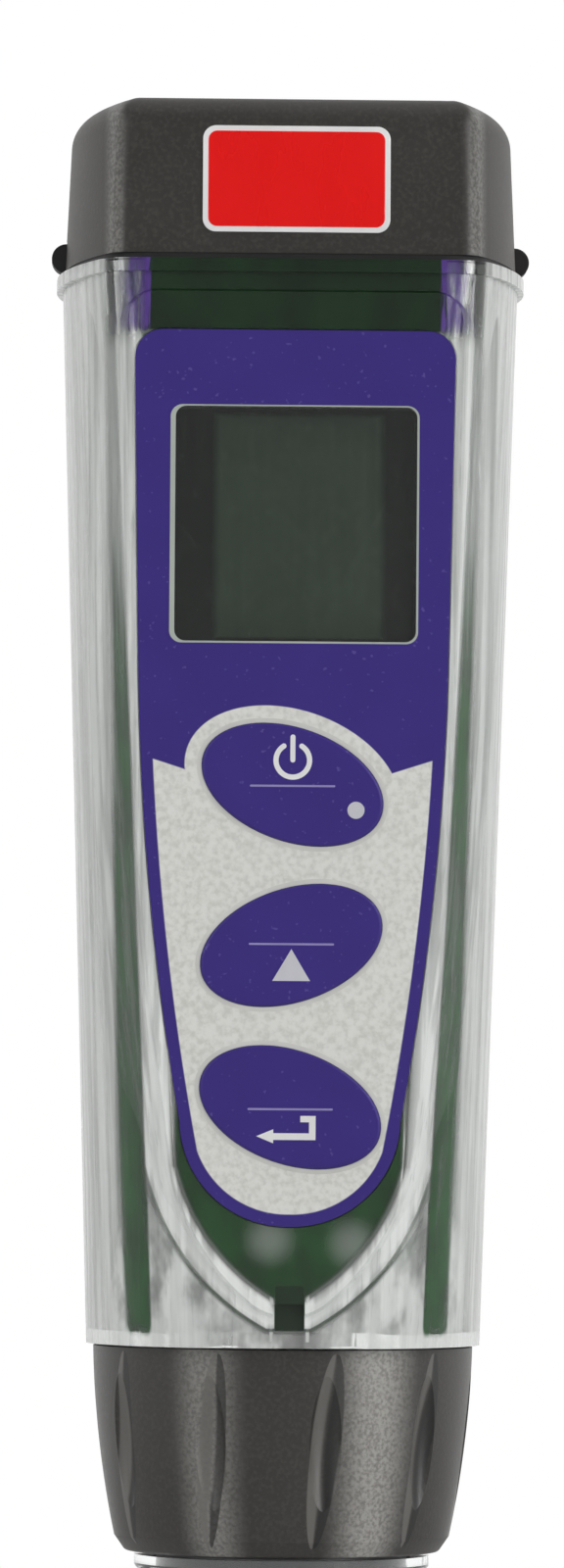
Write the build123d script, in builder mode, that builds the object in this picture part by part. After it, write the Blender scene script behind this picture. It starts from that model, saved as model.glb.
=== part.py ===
"""Pocket conductivity meter: clear tapered housing, pull-off battery cap, screw collar, probe and probe cap.

Millimetres. +Z runs up the long axis, the keypad faces -Y, and the base of the probe cap stands on Z = 0.
"""
import os
from math import atan, cos, pi, sin, sqrt, tan

from build123d import *

# Heights up the long axis
probe_cap_height = 56.2
collar_gap = 0.3
collar_height = 17.3
joint_gap = 0.2
body_height = 90.3
seal_flange = 0.5
top_cap_height = 13.2

# Clear housing
body_base_half = 16.7
body_base_depth = 16.9
body_top_half = 19.4
body_top_depth = 19.4
base_side_radius = 20.0
top_side_radius = 45.0
base_corner = 6.0
top_corner = 3.6
rim_lip = 0.5
rim_lip_height = 1.1
wall = 2.0
floor_rise = 1.3
floor_thickness = 2.8
spigot_radius = 13.4
spigot_length = 9.7
plug_bore = 10.0

# Raised shield on the front, which carries the printed overlay
shield_base_proud = 0.6
shield_top_proud = 0.35
shield_flank = 28.0
shield_depth = 6.2
shield_top_half = 13.95
shield_top_corner = 2.4
shield_margin = 0.75
shield_hip_half = 10.0
shield_cheek_half = 7.9
shield_tip_half = 2.9
notch_half = 1.3
notch_depth = 0.9

# Printed overlay, its window and its keys
overlay_thickness = 0.5
overlay_recess = 0.4
overlay_gap = 0.1
overlay_top_half = 13.34
overlay_top_corner = 2.3
overlay_waist_half = 12.85
overlay_flank_half = 11.7
overlay_hip_half = 9.15
window_width = 20.5
window_height = 19.6
window_corner = 1.0
key_long = 7.8
key_short = 4.68
key_tilt = 19.0
key_lean = {"key_power": -1, "key_up": 1, "key_enter": -1}
key_gap = 0.25
key_proud = 0.3
key_depth = 1.3
key_travel = 0.4
key_rest_gap = 0.12
key_edge = 0.25
stem_radius = 1.9
stem_clearance = 0.08

# Heights on the housing's front, as shares of the way from its base to its rim
shield_top_share = 0.9701
shield_hip_share = 0.1827
shield_cheek_share = 0.1063
shield_tip_share = 0.0399
shield_point_share = 0.0299
notch_top_share = 0.041
overlay_top_share = 0.9347
overlay_waist_share = 0.6202
overlay_flank_share = 0.4097
overlay_hip_share = 0.2082
overlay_tip_share = 0.1119
window_share = 0.7564
key_share = {"key_power": 0.5172, "key_up": 0.3699, "key_enter": 0.2215}

# Inner chassis and battery bay
chassis_gap = 0.15
neck_height = 4.6
neck_corner = 5.0
neck_wall = 2.3
neck_pocket_depth = 2.5
cell_radius = 5.2
cell_length = 44.5
cell_nub_radius = 1.9
cell_nub = 0.8
cell_spacing = 11.2
cell_clearance = 0.3
bay_wall = 1.1
cell_top_gap = 0.1
leaf_height = 5.0
leaf_half = 3.4
leaf_width = 5.0
leaf_thickness = 0.3

# Boards and display
display_gap = 0.73
board_boss = 0.6
board_thickness = 1.6
board_top_half = 11.6
board_base_half = 8.0
board_taper_rise = 1.3
board_base_drop = 6.4
board_gap = 0.4
upper_screw_x = 10.0
upper_screw_edge = 1.6
lower_screw_x = 6.2
lower_screw_edge = 2.6
screw_radius = 0.8
screw_hole = 0.9
screw_head_radius = 1.5
screw_head = 0.8
screw_thread = 2.6
display_side_lap = 0.35
backlight_depth = 2.4
glass_thickness = 1.8
frame_wall = 0.9
frame_lip = 0.35
frame_overlap = 0.5
zebra_height = 1.6
switch_size = 4.6
switch_height = 1.0
switch_dome_radius = 1.5
switch_dome = 0.35
chip_height = 0.9
upper_chip_x = 6.0
lower_chip_x = 5.4
processor_size = 4.6
amplifier_width = 3.4
amplifier_height = 4.8
memory_width = 3.0
memory_height = 3.8
reference_width = 2.6
reference_height = 3.0
connector_board = 1.0
connector_board_radius = 7.0
tail_width = 6.0
tail_thickness = 0.4
tail_lap = 2.4
well_clearance = 0.6
well_height = 5.0

# Battery lid and its hinge
lid_thickness = 1.8
lid_inset = 0.5
lid_corner = 4.6
lid_back_step = 3.0
lid_tongue = 4.0
lid_contact = 0.4
lid_contact_length = 18.0
lid_contact_width = 5.0
lid_groove = 0.4
lid_groove_length = 14.0
lid_groove_width = 1.0
lid_groove_spacing = 2.2
lid_groove_count = 4
hinge_inset = 1.5
hinge_rise = 0.7
pin_radius = 0.6
pin_clearance = 0.05
knuckle_radius = 1.25
lid_knuckle_half = 5.0
knuckle_gap = 0.3
neck_knuckle_length = 3.7

# Cap seal
bead_width = 1.15
bead_height = 2.5
seal_clearance = 0.05
seal_inset = 0.1
ear_width = 2.4
ear_radius = 1.25
ear_proud = 1.15

# Top cap
cap_base_half = 19.2
cap_draw = 0.6
cap_wall = 2.3
cap_play = 0.3
cap_corner = 1.6
cap_corner_zone = 10.0
cap_roof = 2.4
cap_pocket_corner = 6.0
cap_edge = 2.6
ear_clearance = 0.35

# Collar
collar_top_radius = 16.1
collar_mid_radius = 15.45
collar_low_radius = 14.2
collar_low_rise = 1.3
collar_edge = 0.9
thread_clearance = 0.1
lip_height = 4.9
lip_bore = 11.0
flute_count = 10
flute_phase = 12.0
flute_length = 19.0
flute_radius = 1.7
flute_depth = 0.75
flute_rise = 8.7
flute_tilt = 5.0

# Probe
plug_clearance = 0.1
plug_top_gap = 0.4
flange_radius = 13.2
flange_height = 2.4
gasket_thickness = 0.5
gasket_width = 2.6
shoulder_radius = 10.6
shoulder_base = 46.0
stem_base = 9.0
probe_radius = 8.2
tip_edge = 1.0
ring_section = 0.75
ring_clearance = 0.05
plug_ring_z = 68.0
cup_ring_z = 50.8
chamber_radius = 4.6
chamber_height = 17.0
vent_width = 5.0
vent_base = 14.5
vent_height = 9.5
plate_width = 6.0
plate_height = 10.0
plate_thickness = 0.6
plate_offset = 3.4
plate_base = 12.0
sensor_radius = 0.8
sensor_x = -3.0
sensor_length = 10.0
sensor_root = 2.0
sensor_edge = 0.56
fit_clearance = 0.03

# Connector between probe and housing
contact_count = 5
contact_circle = 3.5
contact_radius = 0.5
contact_clearance = 0.06
contact_reach = 3.0
contact_tail = 1.0
contact_well = 1.0
socket_radius = 5.9
socket_clearance = 0.05
socket_drop = 0.3
socket_flange = 1.0
socket_flange_radius = 7.2

# Probe cap
cup_bead_radius = 12.5
cup_bead_height = 0.9
cup_neck_radius = 11.8
cup_base_radius = 11.2
cup_base_edge = 0.8
cup_floor = 2.0
cup_clearance = 0.1
cup_inner_top = 10.1
cup_inner_base = 9.7
cup_step = 0.6

# Levels that follow from the heights
collar_base = probe_cap_height + collar_gap
collar_top = collar_base + collar_height
body_base = collar_top + joint_gap
rim_top = body_base + body_height
cap_base = rim_top + seal_flange
total_height = cap_base + top_cap_height
neck_top = rim_top + neck_height
cavity_floor = body_base + floor_rise
floor_underside = cavity_floor - floor_thickness
spigot_base = body_base - spigot_length
flange_top = spigot_base - gasket_thickness
flange_base = flange_top - flange_height
plug_top = floor_underside - socket_drop - plug_top_gap
hinge_z = neck_top + hinge_rise
bay_floor = neck_top - lid_contact - cell_top_gap - cell_length - leaf_height
shield_top_z = body_base + shield_top_share * body_height
shield_hip_z = body_base + shield_hip_share * body_height
shield_cheek_z = body_base + shield_cheek_share * body_height
shield_tip_z = body_base + shield_tip_share * body_height
shield_point_z = body_base + shield_point_share * body_height
notch_top_z = body_base + notch_top_share * body_height
overlay_top_z = body_base + overlay_top_share * body_height
overlay_waist_z = body_base + overlay_waist_share * body_height
overlay_flank_z = body_base + overlay_flank_share * body_height
overlay_hip_z = body_base + overlay_hip_share * body_height
overlay_tip_z = body_base + overlay_tip_share * body_height
window_z = body_base + window_share * body_height
key_z = {name: body_base + share * body_height for name, share in key_share.items()}

# Display and boards, placed from the window and the keys
display_width = window_width + 2 * display_side_lap
display_height = window_height + 2 * frame_overlap
frame_base_z = window_z - display_height / 2 - frame_wall
upper_screw_z = window_z + display_height / 2 + frame_wall + board_gap + screw_head_radius
board_top_z = upper_screw_z + upper_screw_edge
board_taper_z = key_z["key_power"] + board_taper_rise
board_base_z = key_z["key_enter"] - board_base_drop
lower_screw_z = board_base_z + lower_screw_edge
upper_chip_z = (key_z["key_power"] + key_z["key_up"]) / 2
lower_chip_z = (key_z["key_up"] + key_z["key_enter"]) / 2
screw_places = [
    (-upper_screw_x, upper_screw_z),
    (upper_screw_x, upper_screw_z),
    (-lower_screw_x, lower_screw_z),
    (lower_screw_x, lower_screw_z),
]

# Leaning front plane of the shield: its sketch x is X, and its sketch y is very nearly the height Z
face_base = body_base_depth + shield_base_proud
face_top = body_top_depth + shield_top_proud
lean = atan((face_top - face_base) / body_height)
face_foot = face_base - body_base * tan(lean)
front = Plane(origin=(0, -face_foot, 0), x_dir=(1, 0, 0), z_dir=(0, -cos(lean), -sin(lean)))

os.makedirs("parts", exist_ok=True)


def between(low, high, z):
    """Value at height z on the straight line from low at the housing's base to high at its rim."""
    return low + (high - low) * (z - body_base) / body_height


# Depth of the display stack from the housing's inner face, and the cells behind it
frame_front_y = wall + display_gap - between(body_base_depth, body_top_depth, frame_base_z)
glass_front_y = frame_front_y + frame_lip
glass_back_y = glass_front_y + glass_thickness
board_front_y = glass_back_y + backlight_depth
board_back_y = board_front_y + board_thickness
recess_back_y = board_back_y + board_boss
switch_top_y = board_front_y - switch_height - switch_dome
cell_centre_y = recess_back_y + bay_wall + cell_clearance + cell_radius + cell_spacing / 2

# Half widths from the cap inwards
cap_top_half = cap_base_half - cap_draw
cap_pocket_half = cap_base_half - cap_wall
neck_half = cap_pocket_half - cap_play - bead_width - seal_clearance
lid_half = neck_half - lid_inset
lid_back_y = neck_half - lid_back_step
hinge_y = neck_half - hinge_inset
ear_reach = cap_base_half + ear_proud


def facing(y):
    """Upright plane at Y = y whose normal points to the front, and whose sketch axes are X and Z."""
    return Plane.XZ.offset(-y)


def plan_section(z, half, depth, side_radius, corner=0.0):
    """Plan outline with a flat front and back, bowed sides and, if asked, rounded corners."""
    reach = half - side_radius + sqrt(side_radius**2 - depth**2)
    with BuildSketch(Plane.XY.offset(z)) as section:
        with BuildLine():
            Line((-reach, -depth), (reach, -depth))
            ThreePointArc((reach, -depth), (half, 0), (reach, depth))
            Line((reach, depth), (-reach, depth))
            ThreePointArc((-reach, depth), (-half, 0), (-reach, -depth))
        make_face()
        if corner:
            fillet(section.vertices(), corner)
    return section.sketch


def housing_section(z, inset=0.0):
    """The housing's outline at height z, drawn in by an inset."""
    return plan_section(
        z,
        between(body_base_half, body_top_half, z) - inset,
        between(body_base_depth, body_top_depth, z) - inset,
        between(base_side_radius, top_side_radius, z) - inset,
        between(base_corner, top_corner, z) - inset / 2,
    )


def rounded_square(z, half, corner):
    """Rounded square centred on the long axis."""
    with BuildSketch(Plane.XY.offset(z)) as square:
        RectangleRounded(2 * half, 2 * half, corner)
    return square.sketch


def disc(z, radius):
    """Disc centred on the long axis."""
    with BuildSketch(Plane.XY.offset(z)) as circle:
        Circle(radius)
    return circle.sketch


def ring(z, radius, section):
    """Round sealing ring about the long axis."""
    with BuildPart() as torus:
        with Locations((0, 0, z)):
            Torus(radius, section)
    return torus.part


def shield_outline():
    """Flat land of the shield: straight upper flanks, curved lower flanks and a rounded tip."""
    waist_half = overlay_waist_half + shield_margin
    flank_half = overlay_flank_half + shield_margin
    with BuildSketch(front) as land:
        with BuildLine():
            Line((0, shield_top_z), (shield_top_half, shield_top_z))
            Line((shield_top_half, shield_top_z), (waist_half, overlay_waist_z))
            ThreePointArc(
                (waist_half, overlay_waist_z),
                (flank_half, overlay_flank_z),
                (shield_hip_half, shield_hip_z),
            )
            ThreePointArc(
                (shield_hip_half, shield_hip_z),
                (shield_cheek_half, shield_cheek_z),
                (shield_tip_half, shield_tip_z),
            )
            TangentArc((0, shield_point_z), (shield_tip_half, shield_tip_z), tangent=(1, 0))
            Line((0, shield_point_z), (0, shield_top_z))
        make_face()
        fillet(land.vertices().group_by(Axis.Y)[-1].sort_by(Axis.X)[-1], shield_top_corner)
        mirror(about=Plane.YZ)
    return land.sketch


def overlay_outline(grow=0.0):
    """Printed overlay: nearly straight at the display, drawing in past the keys to a round tip."""
    tip_rise = overlay_hip_z - overlay_tip_z
    with BuildSketch(front) as label:
        with BuildLine():
            Line((0, overlay_top_z), (overlay_top_half, overlay_top_z))
            Line((overlay_top_half, overlay_top_z), (overlay_waist_half, overlay_waist_z))
            ThreePointArc(
                (overlay_waist_half, overlay_waist_z),
                (overlay_flank_half, overlay_flank_z),
                (overlay_hip_half, overlay_hip_z),
            )
            ThreePointArc(
                (overlay_hip_half, overlay_hip_z),
                (overlay_hip_half * cos(pi / 4), overlay_hip_z - tip_rise * sin(pi / 4)),
                (0, overlay_tip_z),
            )
            Line((0, overlay_tip_z), (0, overlay_top_z))
        make_face()
        fillet(label.vertices().group_by(Axis.Y)[-1].sort_by(Axis.X)[-1], overlay_top_corner)
        mirror(about=Plane.YZ)
        if grow:
            offset(amount=grow)
    return label.sketch


def window_outline(shrink=0.0):
    """Display window in the overlay, on the leaning front plane."""
    with BuildSketch(front) as window:
        with Locations((0, window_z)):
            RectangleRounded(window_width - 2 * shrink, window_height - 2 * shrink, window_corner - shrink)
    return window.sketch


def key_outline(name, grow=0.0, depth=0.0):
    """One tilted elliptical key, on the leaning front plane or a depth behind it."""
    with BuildSketch(front.offset(-depth)) as outline:
        with Locations(Location((0, key_z[name], 0), (0, 0, key_lean[name] * key_tilt))):
            Ellipse(key_long + grow, key_short + grow)
    return outline.sketch


def board_outline(y, grow=0.0):
    """Main board: straight beside the display, tapering past the keys."""
    top = board_top_half + grow
    base = board_base_half + grow
    with BuildSketch(facing(y)) as board:
        Polygon(
            (-base, board_base_z - grow),
            (base, board_base_z - grow),
            (top, board_taper_z),
            (top, board_top_z + grow),
            (-top, board_top_z + grow),
            (-top, board_taper_z),
            align=None,
        )
    return board.sketch


def screw_circles(y, radius):
    """Circles at the board's four screws."""
    with BuildSketch(facing(y)) as circles:
        with Locations(*screw_places):
            Circle(radius)
    return circles.sketch


def cell_circles(z, radius):
    """Circles at the four cells."""
    with BuildSketch(Plane.XY.offset(z)) as circles:
        with Locations((0, cell_centre_y)):
            with GridLocations(cell_spacing, cell_spacing, 2, 2):
                Circle(radius)
    return circles.sketch


def contact_circles(z, radius):
    """Circles at the connector's contacts."""
    with BuildSketch(Plane.XY.offset(z)) as circles:
        with PolarLocations(contact_circle, contact_count):
            Circle(radius)
    return circles.sketch


def hinge_circle(x, radius):
    """Circle about the lid's hinge line, on the upright plane at X = x."""
    with BuildSketch(Plane.YZ.offset(x)) as circle:
        with Locations((hinge_y, hinge_z)):
            Circle(radius)
    return circle.sketch


def save(builder, name):
    """Label the finished piece and write its STEP file."""
    builder.part.label = name
    export_step(builder.part, f"parts/{name}.step")


# Clear housing: tapered shell, rim lip, raised shield, floor with the connector hole, and threaded spigot
pocket_depth = key_depth + key_travel + key_rest_gap
with BuildPart() as clear_body:
    loft([housing_section(body_base), housing_section(rim_top)])
    extrude(housing_section(rim_top, -rim_lip), amount=-rim_lip_height)
    extrude(shield_outline(), amount=-shield_depth, taper=-shield_flank)
    split(bisect_by=Plane.XY.offset(rim_top), keep=Keep.BOTTOM)
    split(bisect_by=Plane.XY.offset(body_base), keep=Keep.TOP)
    extrude(disc(spigot_base, spigot_radius), amount=spigot_length)
    loft([housing_section(cavity_floor, wall), housing_section(rim_top, wall)], mode=Mode.SUBTRACT)
    extrude(disc(spigot_base, plug_bore), amount=floor_underside - spigot_base, mode=Mode.SUBTRACT)
    extrude(
        disc(spigot_base, socket_radius + socket_clearance),
        amount=cavity_floor - spigot_base,
        mode=Mode.SUBTRACT,
    )
    extrude(overlay_outline(overlay_gap), amount=-overlay_recess, mode=Mode.SUBTRACT)
    for key in key_z:
        extrude(key_outline(key, key_gap), amount=-pocket_depth, mode=Mode.SUBTRACT)
        with BuildSketch(front):
            with Locations((0, key_z[key])):
                Circle(stem_radius + stem_clearance)
        extrude(amount=-shield_depth, mode=Mode.SUBTRACT)
    with BuildSketch(front):
        with Locations((0, notch_top_z)):
            Rectangle(2 * notch_half, 2 * (notch_top_z - body_base), align=(Align.CENTER, Align.MAX))
    extrude(amount=-notch_depth, mode=Mode.SUBTRACT)
save(clear_body, "clear_body")

# Inner chassis: fills the housing, carries the cells, the boards and the lid, and ends in the neck under the cap
chassis_inset = wall + chassis_gap
with BuildPart() as inner_chassis:
    loft([housing_section(cavity_floor, chassis_inset), housing_section(rim_top, chassis_inset)])
    extrude(rounded_square(rim_top, neck_half, neck_corner), amount=neck_height)
    for side in (-1, 1):
        extrude(
            hinge_circle(side * (lid_knuckle_half + knuckle_gap), knuckle_radius),
            amount=side * neck_knuckle_length,
        )
    extrude(
        rounded_square(neck_top - neck_pocket_depth, neck_half - neck_wall, neck_corner - neck_wall),
        amount=neck_pocket_depth + knuckle_radius,
        mode=Mode.SUBTRACT,
    )
    extrude(cell_circles(bay_floor, cell_radius + cell_clearance), amount=neck_top - bay_floor, mode=Mode.SUBTRACT)
    extrude(
        hinge_circle(0, knuckle_radius + knuckle_gap),
        amount=lid_knuckle_half + knuckle_gap,
        both=True,
        mode=Mode.SUBTRACT,
    )
    extrude(hinge_circle(0, pin_radius), amount=neck_half, both=True, mode=Mode.SUBTRACT)
    extrude(board_outline(recess_back_y, board_gap), amount=body_top_depth, mode=Mode.SUBTRACT)
    extrude(screw_circles(recess_back_y, screw_head_radius), amount=board_boss)
    extrude(screw_circles(board_back_y, screw_radius), amount=-screw_thread, mode=Mode.SUBTRACT)
    extrude(disc(cavity_floor, socket_flange_radius + well_clearance), amount=well_height, mode=Mode.SUBTRACT)
    with BuildSketch(Plane.XY.offset(cavity_floor)):
        with Locations((0, board_back_y - well_clearance)):
            Rectangle(tail_width + 2 * well_clearance, -board_back_y, align=(Align.CENTER, Align.MIN))
    extrude(amount=well_height, mode=Mode.SUBTRACT)
    with BuildSketch(Plane.XY.offset(cavity_floor)):
        with Locations((0, board_back_y - well_clearance)):
            Rectangle(
                tail_width + 2 * well_clearance,
                tail_thickness + 2 * well_clearance,
                align=(Align.CENTER, Align.MIN),
            )
    extrude(amount=board_base_z - cavity_floor, mode=Mode.SUBTRACT)
save(inner_chassis, "inner_chassis")

# Seal between cap and rim: thin flange on the rim, bead round the neck, and an ear at each side
with BuildPart() as cap_seal:
    extrude(
        plan_section(rim_top, cap_base_half - seal_inset, cap_base_half - seal_inset, top_side_radius, top_corner),
        amount=seal_flange,
    )
    extrude(
        rounded_square(rim_top, neck_half + seal_clearance + bead_width, neck_corner + bead_width),
        amount=seal_flange + bead_height,
    )
    for side in (-1, 1):
        with BuildSketch(Plane.XZ):
            with Locations((side * (ear_reach - ear_radius), cap_base + ear_radius)):
                Circle(ear_radius)
            with Locations((side * (neck_half + bead_width), cap_base + ear_radius)):
                Rectangle(ear_reach - ear_radius - neck_half - bead_width, 2 * ear_radius,
                          align=(Align.MIN if side > 0 else Align.MAX, Align.CENTER))
        extrude(amount=ear_width / 2, both=True)
    extrude(
        rounded_square(rim_top, neck_half + seal_clearance, neck_corner),
        amount=seal_flange + bead_height,
        mode=Mode.SUBTRACT,
    )
save(cap_seal, "cap_seal")

# Top cap: bowed block drawn in towards its crown, hollow over the neck, notched for the seal's ears
with BuildPart() as top_cap:
    loft([
        plan_section(cap_base, cap_base_half, cap_base_half, top_side_radius),
        plan_section(total_height, cap_top_half, cap_top_half, top_side_radius),
    ])
    fillet(top_cap.faces().sort_by(Axis.Z)[-1].edges(), cap_edge)
    corners = top_cap.edges().filter_by(lambda e: abs(e.center().X) > cap_corner_zone < abs(e.center().Y))
    fillet(corners.filter_by(lambda e: e.bounding_box().size.Z > cap_edge / 2), cap_corner)
    extrude(
        rounded_square(cap_base, cap_pocket_half, cap_pocket_corner),
        amount=top_cap_height - cap_roof,
        mode=Mode.SUBTRACT,
    )
    with BuildSketch(Plane.XY.offset(cap_base)):
        Rectangle(3 * cap_base_half, ear_width + 2 * ear_clearance)
    extrude(amount=2 * ear_radius + ear_clearance, mode=Mode.SUBTRACT)
save(top_cap, "top_cap")

# Battery lid: plate over the neck with finger grooves and one hinge knuckle
with BuildPart() as battery_lid:
    extrude(rounded_square(neck_top, lid_half, lid_corner), amount=lid_thickness)
    split(bisect_by=Plane.XZ.offset(-lid_back_y), keep=Keep.TOP)
    with BuildSketch(Plane.XY.offset(neck_top)):
        with Locations((0, hinge_y)):
            Rectangle(2 * lid_knuckle_half, lid_tongue, align=(Align.CENTER, Align.MAX))
    extrude(amount=lid_thickness)
    extrude(hinge_circle(0, knuckle_radius), amount=lid_knuckle_half, both=True)
    extrude(hinge_circle(0, pin_radius + pin_clearance), amount=lid_half, both=True, mode=Mode.SUBTRACT)
    with BuildSketch(Plane.XY.offset(neck_top + lid_thickness)):
        with Locations((0, -lid_half / 2)):
            with GridLocations(0, lid_groove_spacing, 1, lid_groove_count):
                SlotOverall(lid_groove_length, lid_groove_width)
    extrude(amount=-lid_groove, mode=Mode.SUBTRACT)
save(battery_lid, "battery_lid")

# Two contact strips under the lid, one for each pair of cells
with BuildPart() as lid_contacts:
    with BuildSketch(Plane.XY.offset(neck_top)):
        with Locations((0, cell_centre_y)):
            with GridLocations(0, cell_spacing, 1, 2):
                Rectangle(lid_contact_length, lid_contact_width)
    extrude(amount=-lid_contact)
save(lid_contacts, "lid_contacts")

# Hinge pin through the neck's knuckles and the lid's
with BuildPart() as lid_pin:
    extrude(hinge_circle(0, pin_radius), amount=lid_knuckle_half + knuckle_gap + neck_knuckle_length, both=True)
save(lid_pin, "lid_pin")

# Four upright cells, positive ends up
cell_base = bay_floor + leaf_height
with BuildPart() as battery_cells:
    extrude(cell_circles(cell_base, cell_radius), amount=cell_length - cell_nub)
    extrude(cell_circles(cell_base, cell_nub_radius), amount=cell_length)
save(battery_cells, "battery_cells")

# Bowed leaf contacts under the cells
with BuildPart() as leaf:
    with BuildSketch(Plane.XZ):
        with BuildLine():
            ThreePointArc((-leaf_half, 0), (0, leaf_height), (leaf_half, 0))
            Line((leaf_half, 0), (-leaf_half, 0))
        make_face()
        with BuildLine():
            ThreePointArc(
                (leaf_thickness - leaf_half, leaf_thickness),
                (0, leaf_height - leaf_thickness),
                (leaf_half - leaf_thickness, leaf_thickness),
            )
            Line((leaf_half - leaf_thickness, leaf_thickness), (leaf_thickness - leaf_half, leaf_thickness))
        make_face(mode=Mode.SUBTRACT)
    extrude(amount=leaf_width / 2, both=True)

with BuildPart() as cell_leaves:
    with Locations((0, cell_centre_y, bay_floor)):
        with GridLocations(cell_spacing, cell_spacing, 2, 2):
            add(leaf.part)
save(cell_leaves, "cell_leaves")

# Main board on its four bosses
with BuildPart() as main_board:
    extrude(board_outline(board_back_y), amount=board_thickness)
    extrude(screw_circles(board_back_y, screw_hole), amount=board_thickness, mode=Mode.SUBTRACT)
save(main_board, "main_board")

# Screws that hold the board
with BuildPart() as board_screws:
    extrude(screw_circles(board_front_y, screw_head_radius), amount=screw_head)
    extrude(screw_circles(board_front_y, screw_radius), amount=-(board_thickness + screw_thread))
    with BuildSketch(facing(board_front_y - screw_head)):
        with Locations(*screw_places):
            SlotOverall(2 * screw_radius, screw_head_radius / 3)
            SlotOverall(2 * screw_radius, screw_head_radius / 3, rotation=90)
    extrude(amount=-screw_head / 2, mode=Mode.SUBTRACT)
save(board_screws, "board_screws")

# Processor, amplifier, memory and reference on the board
with BuildPart() as board_chips:
    with BuildSketch(facing(board_front_y)):
        with Locations((upper_chip_x, upper_chip_z)):
            Rectangle(processor_size, processor_size)
        with Locations((-upper_chip_x, upper_chip_z)):
            Rectangle(amplifier_width, amplifier_height)
        with Locations((lower_chip_x, lower_chip_z)):
            Rectangle(memory_width, memory_height)
        with Locations((-lower_chip_x, lower_chip_z)):
            Rectangle(reference_width, reference_height)
    extrude(amount=chip_height)
save(board_chips, "board_chips")

# Tactile switches behind the keys
with BuildPart() as key_switches:
    with BuildSketch(facing(board_front_y)):
        with Locations(*[(0, z) for z in key_z.values()]):
            Rectangle(switch_size, switch_size)
    extrude(amount=switch_height)
    with BuildSketch(facing(board_front_y - switch_height)):
        with Locations(*[(0, z) for z in key_z.values()]):
            Circle(switch_dome_radius)
    extrude(amount=switch_dome)
save(key_switches, "key_switches")

# Display stack: light guide, rubber connector strips, glass, and the frame that clips over them
light_height = display_height - 2 * zebra_height - board_gap
with BuildPart() as display_backlight:
    with BuildSketch(facing(board_front_y)):
        with Locations((0, window_z)):
            Rectangle(display_width - 2 * frame_wall, light_height)
    extrude(amount=backlight_depth)
save(display_backlight, "display_backlight")

with BuildPart() as zebra_strips:
    with BuildSketch(facing(board_front_y)):
        with Locations((0, window_z)):
            with GridLocations(0, display_height - zebra_height, 1, 2):
                Rectangle(display_width - 2 * frame_wall, zebra_height)
    extrude(amount=backlight_depth)
save(zebra_strips, "zebra_strips")

with BuildPart() as display_glass:
    with BuildSketch(facing(glass_back_y)):
        with Locations((0, window_z)):
            Rectangle(display_width, display_height)
    extrude(amount=glass_thickness)
save(display_glass, "display_glass")

with BuildPart() as display_frame:
    with BuildSketch(facing(board_front_y)):
        with Locations((0, window_z)):
            RectangleRounded(display_width + 2 * frame_wall, display_height + 2 * frame_wall, frame_wall)
            Rectangle(display_width, display_height, mode=Mode.SUBTRACT)
    extrude(amount=backlight_depth + glass_thickness)
    with BuildSketch(facing(glass_back_y - glass_thickness)):
        with Locations((0, window_z)):
            RectangleRounded(display_width + 2 * frame_wall, display_height + 2 * frame_wall, frame_wall)
            Rectangle(display_width - 2 * frame_overlap, display_height - 2 * frame_overlap, mode=Mode.SUBTRACT)
    extrude(amount=frame_lip)
save(display_frame, "display_frame")

# Printed overlay with its window and key openings
with BuildPart() as keypad_overlay:
    extrude(overlay_outline(), amount=-overlay_recess)
    extrude(overlay_outline(), amount=overlay_thickness - overlay_recess)
    extrude(window_outline(), amount=shield_depth, both=True, mode=Mode.SUBTRACT)
    for key in key_z:
        extrude(key_outline(key, key_gap), amount=shield_depth, both=True, mode=Mode.SUBTRACT)
save(keypad_overlay, "keypad_overlay")

# Clear pane in the overlay's window
with BuildPart() as window_pane:
    extrude(window_outline(overlay_gap), amount=-overlay_recess)
save(window_pane, "window_pane")

# Keys: elliptical pads with a stem through the housing to each switch
for key in key_z:
    land_y = face_foot + key_z[key] * tan(lean)
    stem_length = land_y + switch_top_y - key_travel - key_rest_gap - key_depth
    with BuildPart() as pad:
        extrude(key_outline(key, depth=key_depth), amount=key_depth + overlay_thickness - overlay_recess + key_proud)
        fillet(pad.faces().sort_by(Axis.Y)[0].edges(), key_edge)
        with BuildSketch(front.offset(-key_depth)):
            with Locations((0, key_z[key])):
                Circle(stem_radius)
        extrude(amount=-stem_length)
    save(pad, key)

# Fixed connector in the housing's floor
with BuildPart() as probe_socket:
    extrude(disc(floor_underside - socket_drop, socket_radius), amount=floor_thickness + socket_drop)
    extrude(disc(cavity_floor, socket_flange_radius), amount=socket_flange)
    extrude(
        contact_circles(floor_underside - socket_drop, contact_radius + fit_clearance),
        amount=floor_thickness + socket_drop + socket_flange,
        mode=Mode.SUBTRACT,
    )
save(probe_socket, "probe_socket")

with BuildPart() as socket_contacts:
    extrude(
        contact_circles(plug_top - contact_reach, contact_radius),
        amount=cavity_floor + socket_flange + connector_board + contact_tail - plug_top + contact_reach,
    )
    chamfer(socket_contacts.edges().group_by(Axis.Z)[0], contact_radius / 3)
save(socket_contacts, "socket_contacts")

# Small board on the connector, and the flat tail that joins it to the main board
connector_board_z = cavity_floor + socket_flange
with BuildPart() as connector_board_plate:
    with BuildSketch(Plane.XY.offset(connector_board_z)):
        Circle(connector_board_radius)
        with Locations((0, board_back_y)):
            Rectangle(tail_width, -board_back_y, align=(Align.CENTER, Align.MIN))
    extrude(amount=connector_board)
    extrude(
        contact_circles(connector_board_z, contact_radius + fit_clearance),
        amount=connector_board,
        mode=Mode.SUBTRACT,
    )
save(connector_board_plate, "connector_board")

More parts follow.
